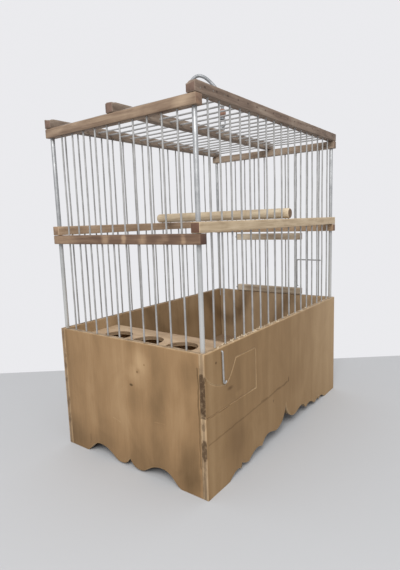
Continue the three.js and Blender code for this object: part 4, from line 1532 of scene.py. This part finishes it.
@dataclass
class WireWalls:
    """The four walls: their wires, and the rails between the two storeys."""

    wires: Wires
    foot: float = BOX_HEIGHT - WIRE_SOCKET
    end_top: float = TOP_RAIL + WIRE_SOCKET
    side_top: float = TOP_RAIL + RAIL + WIRE_SOCKET
    post_radius: float = 2.25
    post_heights: tuple[float, ...] = (125.7, 240.0, 358.6)

    def ends(self, paints: Paints) -> None:
        """Builds the near end's wall, and the far one's upper storey and side wires."""
        start = -POST_X + END_PITCH
        near = self.wires.row((start, -WIRE_Y, self.foot), (END_PITCH, 0, 0), END_WIRES,
                              (0, 0, self.end_top - self.foot))
        paints.dress("near_wires", near, WIRE, replaced=("near_wall",))
        low = MID_RAIL + CROSS_RAIL - WIRE_SOCKET
        far = self.wires.row((start, WIRE_Y, low), (END_PITCH, 0, 0), END_WIRES,
                             (0, 0, self.end_top - low))
        paints.dress("far_wires", far, WIRE, replaced=("far_wall",))
        for i, place in enumerate((1, 2, END_WIRES - 1, END_WIRES)):
            wire = self.wires.row((-POST_X + place * END_PITCH, WIRE_Y, self.foot), (1, 0, 0), 1,
                                  (0, 0, MID_RAIL + WIRE_SOCKET - self.foot), 0.3)
            paints.dress(f"far_upright_{i + 1}", wire, WIRE, replaced=(f"far_wire_{i + 1}",))

    def sides(self, paints: Paints) -> None:
        """Builds the long walls' wires."""
        for side, name in ((-1, "left"), (1, "right")):
            wires = self.wires.row(
                (side * WIRE_X, -POST_Y + SIDE_PITCH, self.foot), (0, SIDE_PITCH, 0), SIDE_WIRES,
                (0, 0, self.side_top - self.foot),
            )
            paints.dress(f"{name}_wires", wires, WIRE, replaced=(f"{name}_wall",))

    def rails(self, paints: Paints) -> None:
        """Builds the rails between the storeys."""
        for name, axis, side, seed, finish in (
            ("near_mid_rail", Axis.X, -1, 1.0, DARK_RAIL),
            ("far_mid_rail", Axis.X, 1, 2.0, TAN_RAIL),
            ("right_mid_rail", Axis.Y, 1, 3.0, PALE_RAIL),
            ("left_mid_rail", Axis.Y, -1, 4.0, BROWN_RAIL),
        ):
            paints.dress(name, rail(axis, side, MID_RAIL, seed=seed).mesh(), finish)

    def posts(self, paints: Paints) -> None:
        """Builds the four corner rods."""
        for along, end in ((-1, "near"), (1, "far")):
            for across, side in ((-1, "left"), (1, "right")):
                path = [Vector((across * POST_X, along * POST_Y, z)) for z in self.post_heights]
                name = f"{end}_{side}_rod"
                paints.dress(name, tube(path, self.post_radius, 20), ROD,
                             replaced=(f"{end}_{side}_post",))

    def build(self, paints: Paints) -> None:
        """Builds the walls."""
        self.ends(paints)
        self.sides(paints)
        self.rails(paints)
        self.posts(paints)


@dataclass
class Roof:
    """The top rails and the wires of the roof."""

    wires: Wires
    wire_end: float = 94.2
    wire_height: float = TOP_RAIL + 1.5 * RAIL - 1.3

    def build(self, paints: Paints) -> None:
        """Builds the roof."""
        right_chip = Chip((HALF_WIDTH - RAIL, -HALF_LENGTH, ROOF_TOP), 5.0, 2.6)
        left_chip = Chip((-93.0, -160.0, 362.0), 6.0, 2.2)
        for place, axis, side, finish, looks in (
            ("near", Axis.X, -1, NEAR_ROOF_RAIL, {"seed": 5.0}),
            ("far", Axis.X, 1, FAR_ROOF_RAIL, {"seed": 6.0}),
            ("right", Axis.Y, 1, RIGHT_ROOF_RAIL,
             {"seed": 7.0, "nose": 2.5, "chips": (right_chip,)}),
            ("left", Axis.Y, -1, GREY_RAIL, {"seed": 8.0, "chips": (left_chip,)}),
        ):
            paints.dress(f"{place}_roof_rail", rail(axis, side, TOP_RAIL, **looks).mesh(), finish,
                         replaced=(f"{place}_top_rail",))
        middle = Bar((-RAIL / 2, -HALF_LENGTH, TOP_RAIL + RAIL), (RAIL / 2, HALF_LENGTH, ROOF_TOP),
                     Axis.Y, seed=9.0, chips=(Chip((-3.5, -159.0, 363.0), 4.0, 2.4),
                                              Chip((4.6, -160.0, 363.0), 3.0, 1.6)))
        paints.dress("middle_roof_rail", middle.mesh(), GREY_RAIL)
        start = (-self.wire_end, -POST_Y + ROOF_PITCH / 2, self.wire_height)
        wires = self.wires.row(start, (0, ROOF_PITCH, 0), ROOF_WIRES, (2 * self.wire_end, 0, 0))
        paints.dress("roof_wires", wires, WIRE, replaced=("roof_grille",))


@dataclass
class Perch:
    """The round perch, slotted at both ends to sit astride a wire."""

    along: float = SIDE_PITCH
    height: float = 257.4
    radius: float = 6.0
    left_end: float = -101.98
    right_end: float = 98.0
    end_shape: tuple[Point2, ...] = ((0.0, 0.8), (0.5, 0.25))  # how far in, and how much smaller
    dent: float = 0.35
    sides: int = 40
    slot: float = 2.6
    slot_from: float = 94.7

    def build(self, paints: Paints) -> None:
        """Builds the perch."""
        shape = bmesh.new()
        wear, cut = marked(shape)
        rings = []
        left, right = self.left_end, self.right_end
        stations = [*((left + back, shrink) for back, shrink in self.end_shape),
                    *((x, 0.0) for x in np.linspace(left + 1.5, right - 1.5, 50)),
                    *((right - back, shrink) for back, shrink in reversed(self.end_shape))]
        for x, shrink in stations:
            ring = []
            for s in range(self.sides):
                angle = 2 * math.pi * s / self.sides
                spot = Vector((x / 14.0, 1.5 * math.cos(angle), 1.5 * math.sin(angle) + 4.0))
                radius = self.radius - shrink - self.dent * abs(noise.noise(spot))
                ring.append(shape.verts.new((x, self.along + radius * math.cos(angle),
                                             self.height + radius * math.sin(angle))))
                ring[-1][wear] = 0.9 if shrink else 0.0
            rings.append(ring)
        for cap in loft(shape, rings):
            cap[cut] = 1.0
        tools = []
        for low, high in ((left - 2, -self.slot_from), (self.slot_from, right + 2)):
            tool = bmesh.new()
            wear, cut = marked(tool)
            middle = ((low + high) / 2, self.along, self.height)
            size = Matrix.Diagonal((high - low, self.slot, 3 * self.radius, 1.0))
            bmesh.ops.create_cube(tool, size=1.0, matrix=Matrix.Translation(middle) @ size)
            for face in tool.faces:
                face[cut] = 1.0
            tools.append(tool)
        paints.dress("perch_dowel", without(shape, tools), PERCH_PINE, replaced=("perch",))


@dataclass
class Door:
    """The door at the far end: two bars, six wires, two wire eyes and a wire latch."""

    wires: Wires
    left: float = -57.75
    right: float = 51.08
    low: float = 138.1
    high: float = 229.5
    bar: float = 9.6
    near: float = 152.2
    far: float = 159.8
    wire_run: float = 80.8
    eye: float = 1.9
    eye_wire: float = 0.6
    shank: float = 4.0  # of an eye, into its bar
    latch_eye: float = 2.2
    latch_foot: float = 151.0
    latch_arm: float = 190.0
    latch_bend: float = 2.0

    def ring(self, centre: Point3, radius: float, wire: float) -> Shape:
        """Makes a flat ring of wire."""
        path = [Vector(centre) + radius * Vector((math.cos(a), math.sin(a), 0))
                for a in np.linspace(0, 2 * math.pi, 22, endpoint=False)]
        return closed_tube(path, wire)

    def eyes(self, paints: Paints) -> None:
        """Builds the two eyes that turn on a wire of the wall."""
        for name, z in (("bottom", self.low + self.bar / 2), ("top", self.high - self.bar / 2)):
            shank = [Vector((HINGE_X + self.eye, WIRE_Y, z)),
                     Vector((self.left + self.shank, WIRE_Y, z))]
            shape = merged(self.ring((HINGE_X, WIRE_Y, z), self.eye, self.eye_wire),
                           tube(shank, self.eye_wire))
            paints.dress(f"{name}_eye", shape, WIRE, Body.DOOR, (f"door_{name}_eye",))

    def latch(self, paints: Paints) -> None:
        """Builds the latch: an eye, a leg, and an arm with a turned-in tip."""
        eye, bend, arm = self.latch_eye, self.latch_bend, self.latch_arm
        x, out = LAST_DOOR_WIRE_X, WIRE_Y + eye
        tip = x + 2 * END_PITCH + eye
        line = [Vector((x, out, self.latch_foot)), Vector((x, out, arm - bend))]
        for a in turns(90, 4):
            line.append(Vector((x + bend - bend * math.cos(a), out,
                                arm - bend + bend * math.sin(a))))
        line.append(Vector((tip - bend, out, arm)))
        for a in turns(80, 4):
            line.append(Vector((tip - bend + bend * math.sin(a), out - eye + eye * math.cos(a),
                                arm)))
        shape = merged(self.ring((x, WIRE_Y, self.latch_foot), eye, WIRE_RADIUS),
                       tube(line, WIRE_RADIUS))
        paints.dress("latch_wire", shape, WIRE, Body.LATCH, ("door_latch",))

    def build(self, paints: Paints) -> None:
        """Builds the door."""
        for name, low in (("bottom", self.low), ("top", self.high - self.bar)):
            bar = Bar((self.left, self.near, low), (self.right, self.far, low + self.bar), Axis.X,
                      seed=10.0 + low)
            paints.dress(f"door_{name}_rail", bar.mesh(), DOOR_WOOD, Body.DOOR,
                         (f"door_{name}_bar",))
        start = (HINGE_X + END_PITCH, WIRE_Y, self.low + self.bar / 2)
        run = (0, 0, self.wire_run)
        wires = self.wires.row(start, (END_PITCH, 0, 0), DOOR_WIRES, run, 0.8)
        paints.dress("door_wires", wires, WIRE, Body.DOOR)
        self.eyes(paints)
        self.latch(paints)


@dataclass
class DrawerHook:
    """The wire hook that hangs on the panel over the drawer."""

    along: float = -133.0
    height: float = 133.9
    face: float = 101.1
    length: float = 31.2
    lean: float = 1.5
    turn: float = 2.2
    turn_angle: float = 176.4
    turn_depth: float = 0.95  # of the turn's end, as a share of its radius
    peg: float = 96.4  # where it starts in the panel
    corner: float = 1.1

    def down(self, distance: float, aside: float = 0.0) -> Vector:
        """Returns a place a distance down the hook, and to its side."""
        lean = math.radians(self.lean)
        return Vector((self.face,
                       self.along + distance * math.sin(lean) + aside * math.cos(lean),
                       self.height - distance * math.cos(lean) + aside * math.sin(lean)))

    def build(self, paints: Paints) -> None:
        """Builds the hook."""
        turn, corner = self.turn, self.corner
        top = Vector((self.face, self.along, self.height))
        begin = Vector((self.face - corner, self.along, self.height))
        line = [Vector((self.peg, self.along, self.height)), begin]
        for i in range(1, 5):
            t = i / 4
            line.append((1 - t) ** 2 * begin + 2 * t * (1 - t) * top + t * t * self.down(corner))
        line.append(self.down(self.length - turn))
        for a in turns(self.turn_angle, 8):
            distance = self.length - turn + self.turn_depth * turn * math.sin(a)
            line.append(self.down(distance, turn - turn * math.cos(a)))
        paints.dress("drawer_catch_wire", tube(line, WIRE_RADIUS, 12), WIRE, Body.CATCH,
                     ("drawer_hook",))


@dataclass
class HangingHook:
    """The screw eye, the link, and the crook with its bead and nut."""

    along: float = 31.0
    heading: float = 35.0
    eye_height: float = 367.2
    eye_radius: float = 3.0
    eye_shank: Point2 = (357.4, 364.2)
    wire: float = 0.8  # radius of the eye's and the link's wire
    link_low: float = 368.2
    link_high: float = 378.8
    half: float = 3.6
    corner: float = 1.6
    plate_radius: float = 2.9
    plate_depth: float = 1.6
    nut_height: float = 376.6
    nut_radius: float = 2.4
    nut_depth: float = 2.0
    pin: Point2 = (375.7, 381.0)
    pin_radius: float = 1.1
    bead_foot: float = 380.0
    bead_top: float = 390.4
    bead_radius: float = 4.4
    bead_line: tuple[Point2, ...] = (  # shares of the radius and of the height
        (0.62, 0.0), (0.72, 0.06), (0.74, 0.14), (0.7, 0.22), (0.82, 0.28), (0.93, 0.36),
        (0.99, 0.46), (1.0, 0.56), (0.96, 0.7), (0.88, 0.82), (0.76, 0.92), (0.6, 0.99),
        (0.45, 1.0),
    )
    crook_wire: float = 2.05
    crook_line: tuple[Point2, ...] = (  # out from the pin's axis, and up from the bead's top
        (0.0, -0.8), (0.0, 6.5), (-2.6, 16.4), (-7.0, 24.4), (-13.4, 32.0), (-20.7, 38.2),
        (-28.1, 40.8), (-35.0, 38.0), (-39.4, 31.5), (-40.6, 24.0), (-38.6, 17.0),
    )

    def upright(self, heights: Point2) -> list[Vector]:
        """Returns a line on the pin's axis between two heights."""
        return [Vector((0, self.along, z)) for z in heights]

    def disc(
        self, height: float, radius: float, depth: float, sides: int, rounding: float
    ) -> Shape:
        """Makes a short solid round the pin's axis, with softened edges."""
        shape = bmesh.new()
        bmesh.ops.create_cone(shape, cap_ends=True, segments=sides, radius1=radius, radius2=radius,
                              depth=depth, matrix=Matrix.Translation((0, self.along, height)))
        soften(shape, rounding)
        return shape

    def eye(self, paints: Paints) -> None:
        """Builds the screw eye in the middle rail."""
        centre = Vector((0, self.along, self.eye_height))
        path = [centre + self.eye_radius * Vector((0, math.cos(a), math.sin(a)))
                for a in np.linspace(0, 2 * math.pi, 28, endpoint=False)]
        shape = merged(closed_tube(path, self.wire), tube(self.upright(self.eye_shank), self.wire))
        paints.dress("screw_eye", shape, HOOK_STEEL, Body.FRAME, ("hook_eye",))

    def link(self, paints: Paints) -> None:
        """Builds the link: a long loop, and the plate that holds the pin."""
        half, corner = self.half, self.corner
        points = []
        for cx, cz, radius, first, last, steps in (
            (half - corner, self.link_high - corner, corner, 0, 90, 5),
            (corner - half, self.link_high - corner, corner, 90, 180, 5),
            (0.0, self.link_low + half, half, 180, 360, 15),
        ):
            for a in np.radians(np.linspace(first, last, steps)):
                points.append(Vector((cx + radius * math.cos(a), self.along,
                                      cz + radius * math.sin(a))))
        plate = self.disc(self.link_high, self.plate_radius, self.plate_depth, 24, 0.25)
        shape = merged(closed_tube(points, self.wire), plate)
        paints.dress("link_wire", shape, HOOK_STEEL, Body.LINK, ("hook_link",))

    def bead(self, paints: Paints) -> None:
        """Builds the turned wooden bead and the nut under the plate."""
        shape = bmesh.new()
        height = self.bead_top - self.bead_foot
        rings = [circle(shape, Vector((0, self.along, self.bead_foot + up * height)),
                        Vector((1, 0, 0)), Vector((0, 1, 0)), out * self.bead_radius, 32)
                 for out, up in self.bead_line]
        loft(shape, rings)
        paints.dress("turned_bead", shape, BEAD_WOOD, Body.HOOK, ("hook_bead",))
        nut = self.disc(self.nut_height, self.nut_radius, self.nut_depth, 6, 0.2)
        paints.dress("pin_nut", nut, NUT_STEEL, Body.HOOK, ("hook_nut",))

    def crook(self, paints: Paints) -> None:
        """Builds the crook, which rises from the bead, leans out and bends over."""
        heading = math.radians(self.heading)
        way = Vector((math.cos(heading), math.sin(heading), 0))
        top = Vector((0, self.along, self.bead_top))
        points = [top + way * out + Vector((0, 0, up)) for out, up in self.crook_line]
        path = smooth_path(points, 8)
        shape = merged(tube(path, self.crook_wire, 20),
                       tube(self.upright(self.pin), self.pin_radius, 12))
        paints.dress("crook", shape, HOOK_STEEL, Body.HOOK, ("hook_rod",))

    def build(self, paints: Paints) -> None:
        """Builds the hanging hook."""
        self.eye(paints)
        self.link(paints)
        self.bead(paints)
        self.crook(paints)


@dataclass
class Splinters:
    """Fibres that the drill raised round the wires' holes in the box's right upper edge."""

    paints: Paints
    per_hole: int = 4
    seed: int = 11
    torn_from: float = -125.0  # along the panel, where the drill tore more
    torn_to: float = -15.0
    reach: float = 2.6  # to both sides of the row of holes
    scatter: float = 1.4  # along the row, about each hole
    torn_scatter: float = 4.0

    def places(self) -> list[tuple[Point3, Point3]]:
        """Returns where the fibres start, and the way that each points."""
        draw = np.random.default_rng(self.seed)
        middle = HALF_WIDTH - PANEL / 2
        spots = []
        for i in range(1, SIDE_WIRES + 1):
            y = -POST_Y + SIDE_PITCH * i
            torn = self.torn_from < y < self.torn_to
            for _ in range(self.per_hole * (3 if torn else 1)):
                x = middle + draw.uniform(-self.reach, self.reach)
                along = draw.normal(0.0, self.torn_scatter if torn else self.scatter)
                way = (draw.uniform(-0.6, 0.6), draw.uniform(-1.0, 1.0), draw.uniform(0.1, 0.9))
                spots.append(((x, y + along, BOX_HEIGHT + 0.2), way))
        return spots

    def build(self) -> None:
        """Builds the fibres."""
        tree = stud_repeater(self.paints.material(SPLINTER), segments=5)
        shape = tree.run(seedbed(self.places()), Radius=0.3, Height=1.35, Spread=0.5, Seed=9)
        self.paints.dress("raised_fibres", shape, SPLINTER)


@dataclass
class Nails:
    """Nail heads in the box and in the rails."""

    paints: Paints
    inset: float = PANEL / 2
    sunk: float = 0.05
    rail_sunk: float = 0.15
    left_rows: tuple[float, ...] = (12.0, 68.0, 126.0)
    right_rows: tuple[float, ...] = (12.0, 66.0, 126.0)
    rail_nails: tuple[Point2, ...] = (  # along the right top rail, and up
        (-152.6, 357.3), (-134.3, 358.6), (-117.6, 358.3), (146.0, 358.0),
    )

    def places(self) -> list[tuple[Point3, Point3]]:
        """Returns where the heads sit, and the way that each faces."""
        side, end = HALF_WIDTH - self.sunk, HALF_LENGTH - self.inset
        left = [((-side, y, z), (-1, 0, 0)) for z in self.left_rows for y in (-end, end)]
        right = [((side, end, z), (1, 0, 0)) for z in self.right_rows]
        rails = [((HALF_WIDTH - self.rail_sunk, y, z), (1, 0, 0)) for y, z in self.rail_nails]
        return left + right + rails

    def build(self) -> None:
        """Builds the heads."""
        tree = stud_repeater(self.paints.material(NAIL))
        shape = tree.run(seedbed(self.places()), Radius=0.9, Height=0.18, Spread=0.15, Seed=4)
        self.paints.dress("nail_heads", shape, NAIL)


@dataclass
class Stage:
    """The pale ground, the light and the camera."""

    eye: Point3 = (315.679, -450.422, 251.513)
    right: Point3 = (0.803122, 0.594863, -0.033689)
    down: Point3 = (0.059322, -0.136087, -0.988916)
    lens: float = 27.4987
    lamp_power: float = 34.0
    lamp_place: Point3 = (0.85, -1.35, 1.5)
    lamp_size: float = 1.1
    lamp_aim: Point3 = (0.0, 0.0, 0.18)
    sky: float = 0.95
    sky_colour: Colour = (240, 240, 243)
    floor_colour: Colour = (180, 181, 182)
    floor_edge: tuple[Point2, Point2] = ((-350.0, -29.0), (85.0, 319.0))
    floor_reach: float = 6000.0

    def ground(self) -> None:
        """Builds the floor."""
        mesh = bpy.data.meshes.new("ground")
        left, right = (Vector((*p, 0)) for p in self.floor_edge)
        along = (right - left).normalized()
        nearer = Vector((along.y, -along.x, 0))
        far_left = left - along * self.floor_reach
        far_right = right + along * self.floor_reach
        corners = [far_left, far_left + nearer * self.floor_reach,
                   far_right + nearer * self.floor_reach, far_right]
        mesh.from_pydata([c * MM for c in corners], [], [(0, 1, 2, 3)])
        graph = Graph("pale_ground")
        graph.shader.inputs["Base Color"].default_value = linear(self.floor_colour)
        graph.shader.inputs["Roughness"].default_value = 0.9
        mesh.materials.append(graph.material)
        ground = bpy.data.objects.new("ground", mesh)
        bpy.context.scene.collection.objects.link(ground)

    def lights(self) -> None:
        """Sets the sky and one wide lamp from the camera's upper left."""
        scene = bpy.context.scene
        world = bpy.data.worlds.new("pale_sky")
        world.use_nodes = True
        back = next(n for n in world.node_tree.nodes if n.type == "BACKGROUND")
        back.inputs["Color"].default_value = linear(self.sky_colour)
        back.inputs["Strength"].default_value = self.sky
        scene.world = world
        lamp = bpy.data.lights.new("key", "AREA")
        lamp.shape = "DISK"
        lamp.size = self.lamp_size
        lamp.energy = self.lamp_power
        made = bpy.data.objects.new("key", lamp)
        made.location = self.lamp_place
        aim = Vector(self.lamp_aim) - made.location
        made.rotation_euler = aim.to_track_quat("-Z", "Y").to_euler()
        scene.collection.objects.link(made)

    def camera(self) -> None:
        """Sets the camera where the picture was taken from."""
        right = Vector(self.right).normalized()
        up = -Vector(self.down).normalized()
        back = right.cross(up).normalized()
        up = back.cross(right)
        turn = Matrix((right, up, back)).transposed().to_4x4()
        lens = bpy.data.cameras.new("camera")
        lens.lens = self.lens
        lens.sensor_width = 36.0
        lens.sensor_fit = "AUTO"
        lens.clip_start = 0.01
        made = bpy.data.objects.new("camera", lens)
        made.matrix_world = Matrix.Translation(Vector(self.eye) * MM) @ turn
        bpy.context.scene.collection.objects.link(made)
        bpy.context.scene.camera = made

    def build(self) -> None:
        """Builds the stage."""
        self.ground()
        self.lights()
        self.camera()
        bpy.context.scene.view_settings.view_transform = "Standard"


def main() -> None:
    """Builds the cage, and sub-assembly by sub-assembly."""
    logging.basicConfig(level=logging.INFO, format="%(name)s %(message)s", stream=sys.stdout)
    paints = Paints()
    panels = BoxPanels()
    wires = Wires(wire_repeater(paints.material(WIRE)))
    panels.build(paints)
    FeederDrawer(panels).build(paints)
    Inside().build(paints)
    WireWalls(wires).build(paints)
    Roof(wires).build(paints)
    Perch().build(paints)
    Door(wires).build(paints)
    DrawerHook().build(paints)
    HangingHook().build(paints)
    Splinters(paints).build()
    Nails(paints).build()
    Stage().build()


if __name__ == "__main__":
    main()
